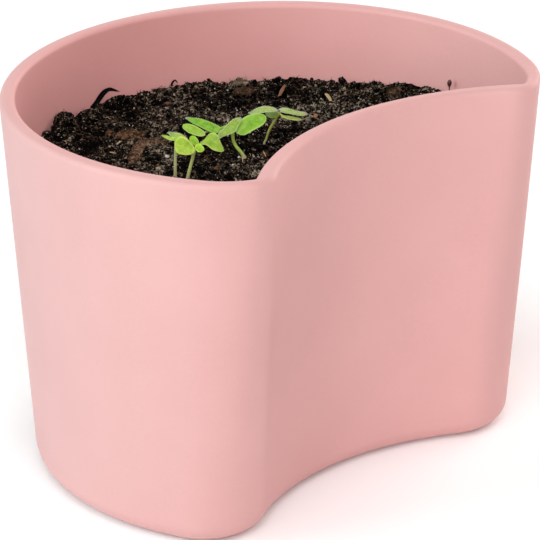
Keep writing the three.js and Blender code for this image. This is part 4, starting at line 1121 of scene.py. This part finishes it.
def fleck():
    v, f = ICO[3]
    w, r = worley(v * 1.4 + 3, 91)
    d = 1 + 0.25 * fbm(v * 2.2, 3, 92) - 0.12 * w
    c = middle("mineral_fleck")
    m = Mesh()
    m.add(v * d[:, None] * [0.62, 0.5, 0.44] + c, f)
    m.add(v * (1 + 0.3 * fbm(v * 2.5 + 4, 3, 93))[:, None] * [0.34, 0.28, 0.26] + c + [-1.3, 1.0, 0.2], f)
    return place(m.make("white_mineral_fleck"), "planting", "mineral", "stone", "mineral_fleck")


fleck()


def pale_flecks():
    """The larger pale grains that lie among the seedlings."""
    v, f = ICO[2]
    m = Mesh()
    for k, (x, y, size) in enumerate(((-11.7, -8.1, 0.75), (-7.4, -6.2, 0.80), (1.9, -2.3, 0.60), (-13.3, -18.4, 0.65), (-21.2, 11.0, 1.5),
                                      (-2.6, -7.6, 0.55), (0.6, -6.2, 0.50), (-17.6, -12.2, 0.50), (-24.5, 4.6, 0.55), (10.4, 6.4, 0.55))):
        d = 1 + 0.3 * fbm(v * 2.3 + k, 3, 110 + k)
        m.add(v * d[:, None] * np.array([0.5, 0.42, 0.36]) * size + on_top(x, y, 0.32 * size + 0.25), f)
    return place(m.make("pale_grains"), "planting", "mineral", "stone")


def pale_slivers():
    """Thin pale splinters round the foot of the third seedling."""
    m = Mesh("along", "across")
    u = np.linspace(0, 1, 9)
    for x0, y0, x1, y1, z0, z1, r in ((-9.0, -9.7, -7.5, -7.6, 0.35, 0.95, 0.17), (-5.9, -8.0, -5.0, -6.2, 0.4, 0.8, 0.13),
                                      (-3.6, -8.8, -2.2, -7.0, 0.4, 0.9, 0.14), (-1.8, -5.4, -0.9, -4.2, 0.3, 0.8, 0.11),
                                      (0.8, -9.4, 1.6, -7.3, 0.9, 1.7, 0.22), (-5.2, -5.6, -6.6, -5.0, 0.3, 0.6, 0.11)):
        a, b = np.array(on_top(x0, y0, z0)), np.array(on_top(x1, y1, z1))
        line = a + (b - a) * u[:, None] + np.array([0, 0, 0.15]) * np.sin(math.pi * u)[:, None]
        tv, tf = tube(line, r * (1 - 0.75 * np.abs(2 * u - 1) ** 2), 6, squeeze=0.6)
        m.add(tv, tf, along=np.r_[np.repeat(u, 6), 0, 1] * 2, across=np.r_[np.tile(np.arange(6) / 6, 9), 0, 0])
    return place(m.make("pale_slivers"), "planting", "pale_wood", "pale")


pale_flecks()
pale_slivers()


def curled_strip(name, node, points, widths, thick, facing, cupping, seed):
    """A curled leaf: a thin closed strip with a hollow across it and a pointed tip."""
    nu, nv = 46, 9
    path = smooth_path(points, nu)
    w = np.interp(np.linspace(0, 1, nu), np.linspace(0, 1, len(widths)), widths)
    t = np.gradient(path, axis=0)
    t /= np.linalg.norm(t, axis=1)[:, None]
    n = np.array(facing, float)
    n /= np.linalg.norm(n)
    rows, along, across = [], [], []
    for i in range(nu):
        side = np.cross(t[i], n)
        side /= np.linalg.norm(side)
        out = np.cross(side, t[i])
        s = np.linspace(-1, 1, nv)
        wob = 1 + 0.12 * fbm(flat3(s * 0 + i * 0.22, np.sign(s)), 2, seed)
        off = s * w[i] / 2 * wob
        cup = cupping * w[i] * (s * s - 0.5) + 0.05 * fbm(flat3(s * 2, 0 * s + i * 0.3), 2, seed + 1)
        th = thick / 2 * (1 - 0.75 * s**4)
        top = path[i] + off[:, None] * side + (cup + th)[:, None] * out
        low = (path[i] + off[:, None] * side + (cup - th)[:, None] * out)[::-1]
        rows.append(np.vstack([top, low]))
        along.append(np.full(2 * nv, i / nu))
        across.append(np.r_[s, s[::-1]])
    k = 2 * nv
    f = grid_faces(nu, k).tolist()
    f.append(list(range(k))[::-1])
    f.append([(nu - 1) * k + i for i in range(k)])
    m = Mesh("along", "across")
    m.add(np.vstack(rows), f, along=np.concatenate(along), across=np.concatenate(across))
    ob = m.make(name)
    bm = bmesh.new()
    bm.from_mesh(ob.data)
    bmesh.ops.recalc_face_normals(bm, faces=bm.faces)
    bm.to_mesh(ob.data)
    bm.free()
    return place(ob, "planting", "leaf_litter", "litter", node)


TOWARDS_FRONT_LEFT = (-0.69, -0.73, 0.0)
curled_strip("black_leaf_curl", "leaf_curl_tall",
             [(-9.3, 60.8, 92.0), (-8.70, 60.37, 94.14), (-7.34, 59.09, 96.46), (-6.34, 58.14, 98.56), (-5.18, 57.05, 100.21),
              (-4.21, 56.14, 100.66), (-3.10, 55.08, 100.31), (-2.14, 54.19, 99.82)],
             [0.9, 1.2, 1.5, 1.75, 1.5, 1.25, 0.8, 0.10], 0.30, TOWARDS_FRONT_LEFT, 0.30, 95)
curled_strip("small_leaf_curl", "leaf_curl_small",
             [(22.2, 57.2, 92.2), (22.38, 57.09, 94.77), (22.75, 56.75, 96.03), (23.15, 56.37, 96.53), (23.54, 56.0, 96.25), (23.86, 55.7, 95.5)],
             [0.7, 0.7, 0.65, 0.6, 0.45, 0.12], 0.20, TOWARDS_FRONT_LEFT, 0.30, 97)


def seed_case():
    lo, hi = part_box("seed_case")
    c = middle("seed_case")
    base = lo[2] * 1000
    n, rows = 20, []
    for z, r in ((-2.2, 0.16), (-1.0, 0.16), (0.0, 0.17), (1.2, 0.17), (2.4, 0.18), (3.3, 0.21), (3.75, 0.32), (4.1, 0.54), (4.5, 0.72), (4.9, 0.79), (5.25, 0.76), (5.55, 0.60), (5.8, 0.36), (5.95, 0.08)):
        a = np.arange(n) / n * 2 * math.pi
        rr = r * (1 + 0.05 * np.cos(5 * a) + 0.03 * vnoise(np.c_[np.cos(a), np.sin(a), 0 * a + z], 99))
        rows.append(np.c_[c[0] + rr * np.cos(a) + 0.03 * (z - 3.0), c[1] + 0.8 * rr * np.sin(a), np.full(n, base + z)])
    f = grid_faces(len(rows), n).tolist()
    f.append(list(range(n))[::-1])
    f.append([(len(rows) - 1) * n + i for i in range(n)])
    m = Mesh()
    m.add(np.vstack(rows), f)
    return place(m.make("dry_seed_case"), "planting", "seed_case", "husk", "seed_case")


seed_case()


# ---------------------------------------------------------------- seedlings
def hairs(m, points, normals, count, length, seed, thick=0.028):
    """Fine tapered hairs standing on a surface."""
    r = np.random.default_rng(seed)
    pick = r.integers(0, len(points), count)
    vs, fs, k = [], [], 0
    for i in pick:
        d = normals[i] + 0.45 * r.normal(size=3)
        d /= np.linalg.norm(d)
        l = length * r.uniform(0.5, 1.3)
        a = np.cross(d, [0.3, 0.5, 0.8])
        a /= np.linalg.norm(a)
        b = np.cross(d, a)
        p = points[i] - d * 0.05
        ring = [p + thick * (math.cos(q) * a + math.sin(q) * b) for q in (0, 2.094, 4.189)]
        vs.extend(ring + [p + d * l])
        fs.extend([[k, k + 1, k + 3], [k + 1, k + 2, k + 3], [k + 2, k, k + 3], [k + 2, k + 1, k]])
        k += 4
    m.add(np.array(vs), np.array(fs), **{n: (1.0 if n == "hair" else 0.5 if n == "length" else 0.4 if n == "side" else 0.0) for n in m.names})


def make_stem(k):
    pts = STEMS[k]
    above = smooth_path(pts, 30)
    foot = above[0]
    drops = [(24.0, 0.10), (20.0, 0.18), (15.0, 0.26), (10.0, 0.33), (6.0, 0.38), (3.0, 0.43), (1.2, 0.47)]
    path = np.vstack([[foot + [0.12 * math.sin(d * 0.8 + k), 0.12 * math.cos(d * 0.7 + k), -d] for d, _ in drops], above])
    u = np.linspace(0, 1, len(above))
    radii = np.r_[[r for _, r in drops], 0.53 - 0.07 * u + 0.05 * np.exp(-((u - 0.02) / 0.06) ** 2)]
    if k == 1:
        radii[len(drops):] *= 0.86
    if k == 4:
        radii[len(drops):] = 0.31 + 0.15 * u
    v, f = tube(path, radii, 12)
    v = v + 0.03 * np.c_[vnoise(v * 1.3, 1), vnoise(v * 1.3, 2), np.zeros(len(v))]
    height = lambda z: np.where(z < foot[2], 0.5 + (z - foot[2]) / (2 * ROOT_DEPTH), 0.55 + 0.45 * (z - foot[2]) / (above[-1][2] - foot[2]))
    m = Mesh("height", "hair")
    m.add(v, f, height=height(v[:, 2]))
    r = np.random.default_rng(200 + k)
    # rootlets that branch from the tap root
    for _ in range(26):
        d = r.uniform(2.0, 22.0)
        a = r.uniform(0, 2 * math.pi)
        l = r.uniform(1.5, 5.5) * (1.1 - d / 30)
        q = np.linspace(0, 1, 7)[:, None]
        w = np.array([math.cos(a), math.sin(a), -0.55])
        s = foot + np.array([0, 0, -d])
        p = s + w * q * l + np.array([0.4 * math.sin(a * 3), 0.4 * math.cos(a * 3), -0.8]) * q * q * l * 0.5
        tv, tf = tube(p, 0.085 * (1.1 - 0.85 * q[:, 0]), 5)
        m.add(tv, tf, height=np.full(len(tv), 0.12))
    n = np.zeros_like(v[:-2])
    ring = v[:-2].reshape(-1, 12, 3)
    n = (ring - ring.mean(1, keepdims=True)).reshape(-1, 3)
    n /= np.linalg.norm(n, axis=1)[:, None]
    upper = (len(drops) + 2) * 12
    hairs(m, v[:-2][upper:], n[upper:], 130, 0.26, 300 + k, 0.02)
    return place(m.make(f"stem_and_root_{k}"), f"seedling_{k}", "stem", f"stem_{k}", f"seedling_{k}_stem_root")


for k in STEMS:
    make_stem(k)

# Each leaf: where its blade starts and ends, the way its upper face looks, arch along it, cup across it, and how
# far its margin stands from the line between those points on either side, mm, at thirteen stations that lie closer
# together towards the ends.
LEAVES = {
    1: [
        ("cotyledon_left", (-27.82, -2.41, 105.50), (-29.99, 3.50, 106.09), (-0.32, -0.21, 0.92), 0.25, 0.20,
         [-0.15, -0.15, -0.18, -0.21, -0.08, 0.04, -0.04, -0.12, -0.17, -0.15, -0.07, -0.02, -0.00],
         [-0.11, -0.01, 0.36, 0.75, 1.06, 1.27, 1.30, 1.14, 0.86, 0.53, 0.24, 0.06, 0.01]),
        ("true_leaf_back", (-26.53, -2.99, 104.99), (-28.04, 2.66, 106.56), (-0.31, -0.33, 0.89), 0.25, 0.20,
         [-1.29, -1.31, -1.38, -1.50, -1.55, -1.53, -1.40, -1.14, -0.91, -0.74, -0.61, -0.47, -0.04],
         [-1.25, -1.16, -0.80, -0.34, 0.23, 0.85, 1.02, 0.92, 0.73, 0.50, 0.27, 0.13, 0.10]),
        ("cotyledon_right", (-27.85, -1.36, 105.10), (-25.25, -3.49, 104.94), (-0.47, -0.62, 0.62), 0.20, 0.15,
         [0.19, 0.12, -0.15, -0.36, -0.45, -0.55, -0.52, -0.44, -0.37, -0.24, -0.09, 0.00, 0.03],
         [0.22, 0.27, 0.44, 0.71, 0.98, 1.02, 1.06, 0.88, 0.71, 0.49, 0.24, 0.09, 0.05]),
    ],
    2: [
        ("cotyledon_left", (-26.03, -7.32, 103.63), (-30.29, -2.78, 104.63), (-0.64, -0.68, 0.36), 0.15, 0.25,
         [0.34, 0.19, -0.37, -0.94, -1.55, -2.17, -2.62, -2.96, -3.00, -2.79, -2.21, -1.25, -0.96],
         [0.55, 1.09, 1.49, 1.88, 2.08, 2.31, 2.40, 2.39, 2.35, 2.02, 1.37, 0.65, -0.10]),
        ("leaf_bud_upper", (-24.55, -6.13, 103.68), (-24.26, -3.72, 106.31), (-0.47, -0.62, 0.62), 0.20, 0.20,
         [-0.49, -0.57, -0.87, -1.10, -1.16, -1.20, -1.13, -1.05, -0.91, -0.76, -0.52, -0.37, -0.33],
         [-0.39, -0.15, 0.31, 0.52, 0.77, 0.89, 1.02, 1.14, 1.09, 0.96, 0.69, 0.48, 0.43]),
        ("leaf_bud_lower", (-25.88, -7.03, 104.37), (-24.69, -9.30, 102.99), (-0.34, -0.61, 0.71), 0.20, 0.20,
         [-0.17, -0.23, -0.45, -0.78, -1.00, -1.22, -1.31, -1.34, -1.12, -0.86, -0.46, -0.20, 0.31],
         [0.67, 0.71, 0.86, 1.10, 1.24, 1.24, 1.23, 1.15, 1.07, 0.90, 0.71, 0.59, 0.56]),
        ("cotyledon_right", (-23.49, -6.05, 104.06), (-18.95, -12.02, 102.22), (-0.37, -0.52, 0.77), 0.30, 0.30,
         [0.17, 0.12, -0.05, 0.04, 0.18, -0.18, -0.72, -0.93, -0.88, -0.74, -0.55, -0.16, 0.08],
         [0.24, 0.42, 1.12, 2.11, 4.10, 4.78, 4.72, 4.04, 2.77, 1.80, 1.10, 0.43, 0.22]),
    ],
    3: [
        ("true_leaf_left", (-9.38, -0.94, 103.13), (-13.71, 10.38, 105.41), (-0.28, -0.29, 0.91), 0.50, 0.30,
         [-0.31, -0.42, -0.79, -1.02, -1.13, -1.20, -1.23, -1.17, -0.98, -0.72, -0.51, -0.37, -0.05],
         [0.58, 0.85, 1.68, 2.37, 2.45, 2.38, 2.15, 1.79, 1.45, 0.94, 0.49, 0.20, 0.12]),
        ("cotyledon_left", (-14.14, 1.16, 102.78), (-17.19, 8.28, 104.36), (-0.31, -0.33, 0.89), 0.30, 0.30,
         [0.31, 0.05, -0.52, -0.74, -0.94, -1.15, -1.30, -1.38, -1.36, -1.27, -1.03, -0.81, -0.75],
         [0.49, 0.82, 1.34, 1.82, 2.03, 2.26, 2.14, 1.97, 1.58, 1.17, 0.73, 0.13, -0.28]),
        ("true_leaf_front", (-4.21, -3.94, 106.51), (-13.81, -3.91, 102.80), (-0.31, -0.52, 0.80), 0.40, 0.30,
         [-0.41, -0.52, -0.90, -1.16, -1.33, -1.29, -1.22, -1.13, -1.05, -0.99, -0.75, -0.21, 0.07],
         [0.07, 0.31, 0.62, 1.01, 1.37, 1.85, 2.27, 1.95, 1.39, 0.85, 0.63, 0.49, 0.27]),
        ("cotyledon_right", (-6.93, -4.60, 102.97), (2.40, -8.04, 106.51), (-0.44, -0.34, 0.83), 0.35, 0.30,
         [-0.76, -0.98, -1.76, -2.56, -2.68, -2.71, -2.69, -2.60, -2.41, -1.91, -1.24, -0.41, 0.12],
         [-0.21, 0.60, 1.08, 1.80, 2.46, 3.04, 3.16, 2.97, 2.57, 2.09, 1.52, 0.77, 0.40]),
    ],
    4: [
        ("true_leaf_left", (11.04, -4.17, 104.97), (3.89, 1.17, 104.75), (-0.15, -0.16, 0.98), 0.80, 0.20,
         [-0.41, -0.63, -1.18, -1.51, -1.69, -1.77, -1.76, -1.57, -1.20, -0.69, -0.30, -0.16, -0.12],
         [-0.28, -0.08, 0.47, 0.80, 1.19, 1.52, 1.72, 1.76, 1.54, 1.22, 0.84, 0.15, -0.05]),
        ("cotyledon_left", (12.01, -3.64, 103.60), (10.82, 1.63, 102.54), (-0.27, 0.13, 0.95), 0.10, 0.15,
         [0.98, 0.10, -0.19, -0.65, -1.03, -1.13, -1.21, -1.15, -1.10, -1.05, -0.77, -0.59, -0.54],
         [1.77, 1.87, 2.24, 2.83, 2.69, 2.52, 2.12, 1.58, 1.02, 0.38, -0.11, -0.42, -0.50]),
        ("true_leaf_right", (11.74, -4.02, 104.98), (16.37, -11.38, 104.49), (-0.15, -0.16, 0.98), 0.50, 0.20,
         [0.40, 0.16, -0.74, -1.36, -1.78, -1.98, -2.12, -2.14, -2.12, -1.83, -1.53, -0.85, -0.40],
         [0.53, 0.73, 1.34, 1.19, 0.99, 0.67, 0.37, 0.15, 0.21, 0.42, 0.40, 0.05, -0.19]),
        ("cotyledon_right", (11.94, -4.32, 103.24), (16.26, -9.09, 102.21), (0.08, -0.14, 0.99), 0.15, 0.10,
         [0.25, -0.02, -0.77, -1.23, -1.68, -2.05, -2.18, -2.14, -1.91, -1.54, -0.97, -0.17, 0.03],
         [0.33, 0.33, 0.34, 0.35, 0.37, 0.40, 0.44, 0.50, 0.55, 0.55, 0.55, 0.24, 0.13]),
    ],
}
# Colour factors per leaf. Seedling 4's left cotyledon is partly its own deep green and partly painted shade: its
# factors darken it for the shade under the true leaf above it.
TINTS = {
    (1, "cotyledon_left"): (1.35, 1.25, 1.3), (1, "true_leaf_back"): (1.35, 1.25, 1.5), (1, "cotyledon_right"): (1.2, 1.2, 1.0),
    (2, "cotyledon_left"): (1.45, 1.38, 1.15), (2, "leaf_bud_upper"): (1.02, 1.14, 0.22), (2, "leaf_bud_lower"): (1.34, 1.45, 0.80),
    (2, "cotyledon_right"): (1.10, 1.06, 1.0), (3, "true_leaf_left"): (0.84, 1.08, 0.34), (3, "cotyledon_left"): (1.11, 1.12, 1.30),
    (3, "true_leaf_front"): (1.20, 1.14, 1.20), (3, "cotyledon_right"): (0.92, 1.07, 1.02), (4, "true_leaf_left"): (1.42, 1.16, 1.75),
    (4, "cotyledon_left"): (0.50, 0.54, 0.10), (4, "true_leaf_right"): (1.42, 1.14, 1.60), (4, "cotyledon_right"): (1.50, 1.28, 1.37),
}
VIA = {(3, "cotyledon_left"): [(-8.9, -1.0, 102.6), (-11.9, 2.4, 102.8)]}
STALKS = {(1, "cotyledon_left"): (0.28, 0.22), (2, "cotyledon_left"): (0.30, 0.42), (2, "cotyledon_right"): (0.30, 0.34),
          (3, "true_leaf_left"): (0.36, 0.36), (3, "cotyledon_left"): (0.32, 0.34), (3, "cotyledon_right"): (0.40, 0.42)}


def stations(values, u):
    """Smooth values at u, 0 to 1, from thirteen stations that are even in angle."""
    x = np.arccos(1 - 2 * np.clip(u, 0, 1)) / math.pi * 12
    v = np.asarray(values, float)
    v = np.r_[2 * v[0] - v[1], v, 2 * v[-1] - v[-2]]
    i = np.minimum(x.astype(int), 11)
    t = x - i
    p0, p1, p2, p3 = v[i], v[i + 1], v[i + 2], v[i + 3]
    return 0.5 * (2 * p1 + (p2 - p0) * t + (2 * p0 - 5 * p1 + 4 * p2 - p3) * t * t + (3 * p1 - p0 - 3 * p2 + p3) * t**3)


def make_leaf(k, name, base, tip, facing, arch, cup, low_side, high_side):
    hairy = name.startswith("true_leaf")
    nu, nv = 46, 19
    b, t = np.array(base), np.array(tip)
    along = t - b
    length = np.linalg.norm(along)
    n = np.array(facing) / np.linalg.norm(facing)
    side = np.cross(n, along / length)
    side /= np.linalg.norm(side)
    up = n - along / length * (n @ along / length)
    up /= np.linalg.norm(up)
    u = 0.5 - 0.5 * np.cos(np.linspace(0.0, math.pi, nu))
    lo, hi = stations(low_side, u), stations(high_side, u)
    hi = np.maximum(hi, lo + 0.08)
    half, middle_line = (hi - lo) / 2, (hi + lo) / 2
    width = 2 * half.max()
    seed = 10 * k + len(name)
    v = np.linspace(-1, 1, nv)
    U, V = np.meshgrid(u, v, indexing="ij")
    H = np.repeat(half[:, None], nv, 1)
    C = np.repeat(middle_line[:, None], nv, 1)
    wave = 0.10 * np.abs(V) ** 3 * fbm(np.c_[U.ravel() * 4.5, np.sign(V).ravel(), np.full(U.size, seed)], 2, seed).reshape(U.shape)
    scallop = (0.045 * np.abs(V) ** 6 * np.sin(U * length * 7.5 + seed)) if hairy else 0.0
    centre = 1 - V**2
    mid = arch * np.sin(math.pi * U) + cup * V**2 * (H / (width / 2)) + wave * width * 0.25
    mid = mid - 0.09 * np.exp(-((V / 0.10) ** 2)) * np.sin(math.pi * U) ** 0.5
    thick = (0.32 if not hairy else 0.28) * (1 - 0.80 * np.abs(V) ** 3.5) * np.clip(np.minimum(U, 1 - U) / 0.06, 0.25, 1)
    puff = (0.07 if hairy else 0.035) * np.abs(np.sin(math.pi * (7 * U - 2.1 * np.abs(V)))) * (1 - np.abs(V)) * (np.abs(V) > 0.08)
    pos = lambda off: (b + U[..., None] * along + (C + V * H * (1 + scallop))[..., None] * side + (mid + off)[..., None] * up).reshape(-1, 3)
    top, low = pos(thick / 2 + puff), pos(-thick / 2 - 0.06 * np.exp(-((V / 0.12) ** 2)))
    at = lambda layer, i, j: layer * nu * nv + i * nv + j
    faces = []
    for i in range(nu - 1):
        for j in range(nv - 1):
            faces.append([at(0, i, j), at(0, i + 1, j), at(0, i + 1, j + 1), at(0, i, j + 1)])
            faces.append([at(1, i, j), at(1, i, j + 1), at(1, i + 1, j + 1), at(1, i + 1, j)])
    rim = [(i, 0) for i in range(nu - 1)] + [(nu - 1, j) for j in range(nv - 1)] + [(i, nv - 1) for i in range(nu - 1, 0, -1)] + [(0, j) for j in range(nv - 1, 0, -1)]
    for q, (i, j) in enumerate(rim):
        i2, j2 = rim[(q + 1) % len(rim)]
        faces.append([at(1, i, j), at(1, i2, j2), at(0, i2, j2), at(0, i, j)])
    edge = np.maximum(np.abs(V), np.abs(2 * U - 1) ** 3).ravel()
    names = ("edge", "side", "length", "hair", "tipped", "tint_r", "tint_g", "tint_b")
    tint = dict(zip(names[5:], TINTS.get((k, name), (1.0, 1.0, 1.0))))
    m = Mesh(*names)
    two = lambda x: np.r_[x, x]
    tipped = 1.0 if (k, name) == (4, "true_leaf_right") else 0.0
    m.add(np.vstack([top, low]), faces, edge=two(edge), side=two(V.ravel()), length=two(U.ravel()), hair=0.0, tipped=tipped, **tint)
    # stalk from the stem into the blade
    r0, r1 = STALKS.get((k, name), (0.28, 0.26))
    crown = np.array(STEMS[k][-1])
    start = crown - np.array([0, 0, 0.25])
    spot = int(np.argmax(u > 0.12))
    into = b + along * u[spot] + side * middle_line[spot] + up * (arch * math.sin(math.pi * u[spot]) - 0.08)
    d = into - start
    far = np.linalg.norm(d)
    between = VIA.get((k, name), [start + d * 0.3 + [0, 0, 0.10 * far], start + d * 0.65 + [0, 0, 0.08 * far]])
    path = smooth_path([start, *between, into], 18)
    q = np.linspace(0, 1, 18)
    radii = (r0 * (1 - q) + r1 * q) * (1 - 0.65 * np.clip((q - 0.7) / 0.3, 0, 1))
    tv, tf = tube(path, radii, 10, squeeze=0.8, up=side)
    m.add(tv, tf, edge=0.0, side=0.35, length=0.02, hair=0.0, tipped=0.0, **tint)
    if hairy:
        nrm = np.repeat(up[None, :], nu * nv, 0) + 0.9 * (V.ravel() ** 5)[:, None] * side
        dense = 4 if k == 4 else 1.6
        hairs(m, top, nrm, int(dense * (30 * length + 70)), 0.42, 400 + seed, 0.022)
        rim_pts = np.array([top[i * nv + j] for i, j in rim])
        out = rim_pts - rim_pts.mean(0)
        out /= np.linalg.norm(out, axis=1)[:, None]
        hairs(m, rim_pts, out + 0.4 * up, int((1.0 + 0.35 * dense) * (18 * length + 30)), 0.40, 500 + seed, 0.024)
    ob = m.make(f"{name}_{k}")
    bm = bmesh.new()
    bm.from_mesh(ob.data)
    bmesh.ops.recalc_face_normals(bm, faces=bm.faces)
    bm.to_mesh(ob.data)
    bm.free()
    slot = "cotyledon" if name.startswith("cotyledon") else "true_leaf"
    return place(ob, f"seedling_{k}", slot, "hairy" if hairy else "cotyledon", f"seedling_{k}_{name}")


for k, rows in LEAVES.items():
    for row in rows:
        make_leaf(k, *row)

# ---------------------------------------------------------------- floor, light and camera
def floor():
    bm = bmesh.new()
    bmesh.ops.create_circle(bm, cap_ends=True, segments=96, radius=9.0)
    me = bpy.data.meshes.new("studio_floor")
    bm.to_mesh(me)
    bm.free()
    ob = bpy.data.objects.new("studio_floor", me)
    bpy.context.scene.collection.objects.link(ob)
    ob.location.z = -0.0001
    n = Nodes("studio_floor_white")
    c = n.ramp(n.noise(3, 2, 0.5), [(0.3, (0.90, 0.90, 0.90)), (0.7, (0.92, 0.92, 0.92))])
    ob.data.materials.append(n.finish(c, 0.9, Specular_IOR_Level=0.1, Emission_Color=(1, 1, 1, 1), Emission_Strength=0.08))


floor()


def area(name, place_at, target, size, power, color=(1, 1, 1)):
    data = bpy.data.lights.new(name, "AREA")
    data.shape = "RECTANGLE"
    data.size, data.size_y = size
    data.energy = power
    data.color = color
    ob = bpy.data.objects.new(name, data)
    bpy.context.scene.collection.objects.link(ob)
    ob.location = place_at
    d = Vector(target) - Vector(place_at)
    ob.rotation_euler = d.to_track_quat("-Z", "Y").to_euler()
    return ob


AIM = (0, 0, 0.06)
area("left_softbox", (-1.933, 1.152, 0.90), AIM, (1.4, 1.4), 34.5, (0.69, 1.0, 1.03))
area("front_softbox", (-1.498, -1.610, 0.90), AIM, (1.4, 1.4), 17.5, (0.95, 1.0, 1.0))
area("high_softbox", (-0.749, -0.805, 1.70), AIM, (1.4, 1.4), 25.0, (1.0, 0.97, 0.97))
area("back_right_softbox", (1.799, 0.054, 0.75), AIM, (1.4, 1.4), 28.5, (1.0, 0.93, 0.90))
area("back_softbox", (1.226, 1.318, 0.75), AIM, (1.4, 1.4), 8.0)
area("back_left_softbox", (-0.054, 1.799, 0.75), AIM, (1.4, 1.4), 6.0)

world = bpy.data.worlds.new("studio")
bpy.context.scene.world = world
world.use_nodes = True
world.node_tree.nodes["Background"].inputs["Color"].default_value = (1, 1, 1, 1)
world.node_tree.nodes["Background"].inputs["Strength"].default_value = 0.06

CAMERA_AT = Vector((-0.71972507, -0.77417922, 0.49779996))
CAMERA_RIGHT = Vector((0.7240758, -0.6896316, -0.0110655))
CAMERA_UP = Vector((0.2741972, 0.2730968, 0.9220814))
CAMERA_FORWARD = Vector((0.6328745, 0.6706909, -0.3868378))
camera = bpy.data.cameras.new("photo_camera")
camera.sensor_width = 36.0
camera.lens = 247.0322
camera.clip_start, camera.clip_end = 0.05, 30.0
cam = bpy.data.objects.new("photo_camera", camera)
bpy.context.scene.collection.objects.link(cam)
cam.matrix_world = Matrix((
    (CAMERA_RIGHT.x, CAMERA_UP.x, -CAMERA_FORWARD.x, CAMERA_AT.x),
    (CAMERA_RIGHT.y, CAMERA_UP.y, -CAMERA_FORWARD.y, CAMERA_AT.y),
    (CAMERA_RIGHT.z, CAMERA_UP.z, -CAMERA_FORWARD.z, CAMERA_AT.z),
    (0, 0, 0, 1)))
bpy.context.scene.camera = cam
bpy.context.scene.view_settings.view_transform = "Standard"
bpy.context.scene.view_settings.look = "None"

bpy.context.view_layer.update()
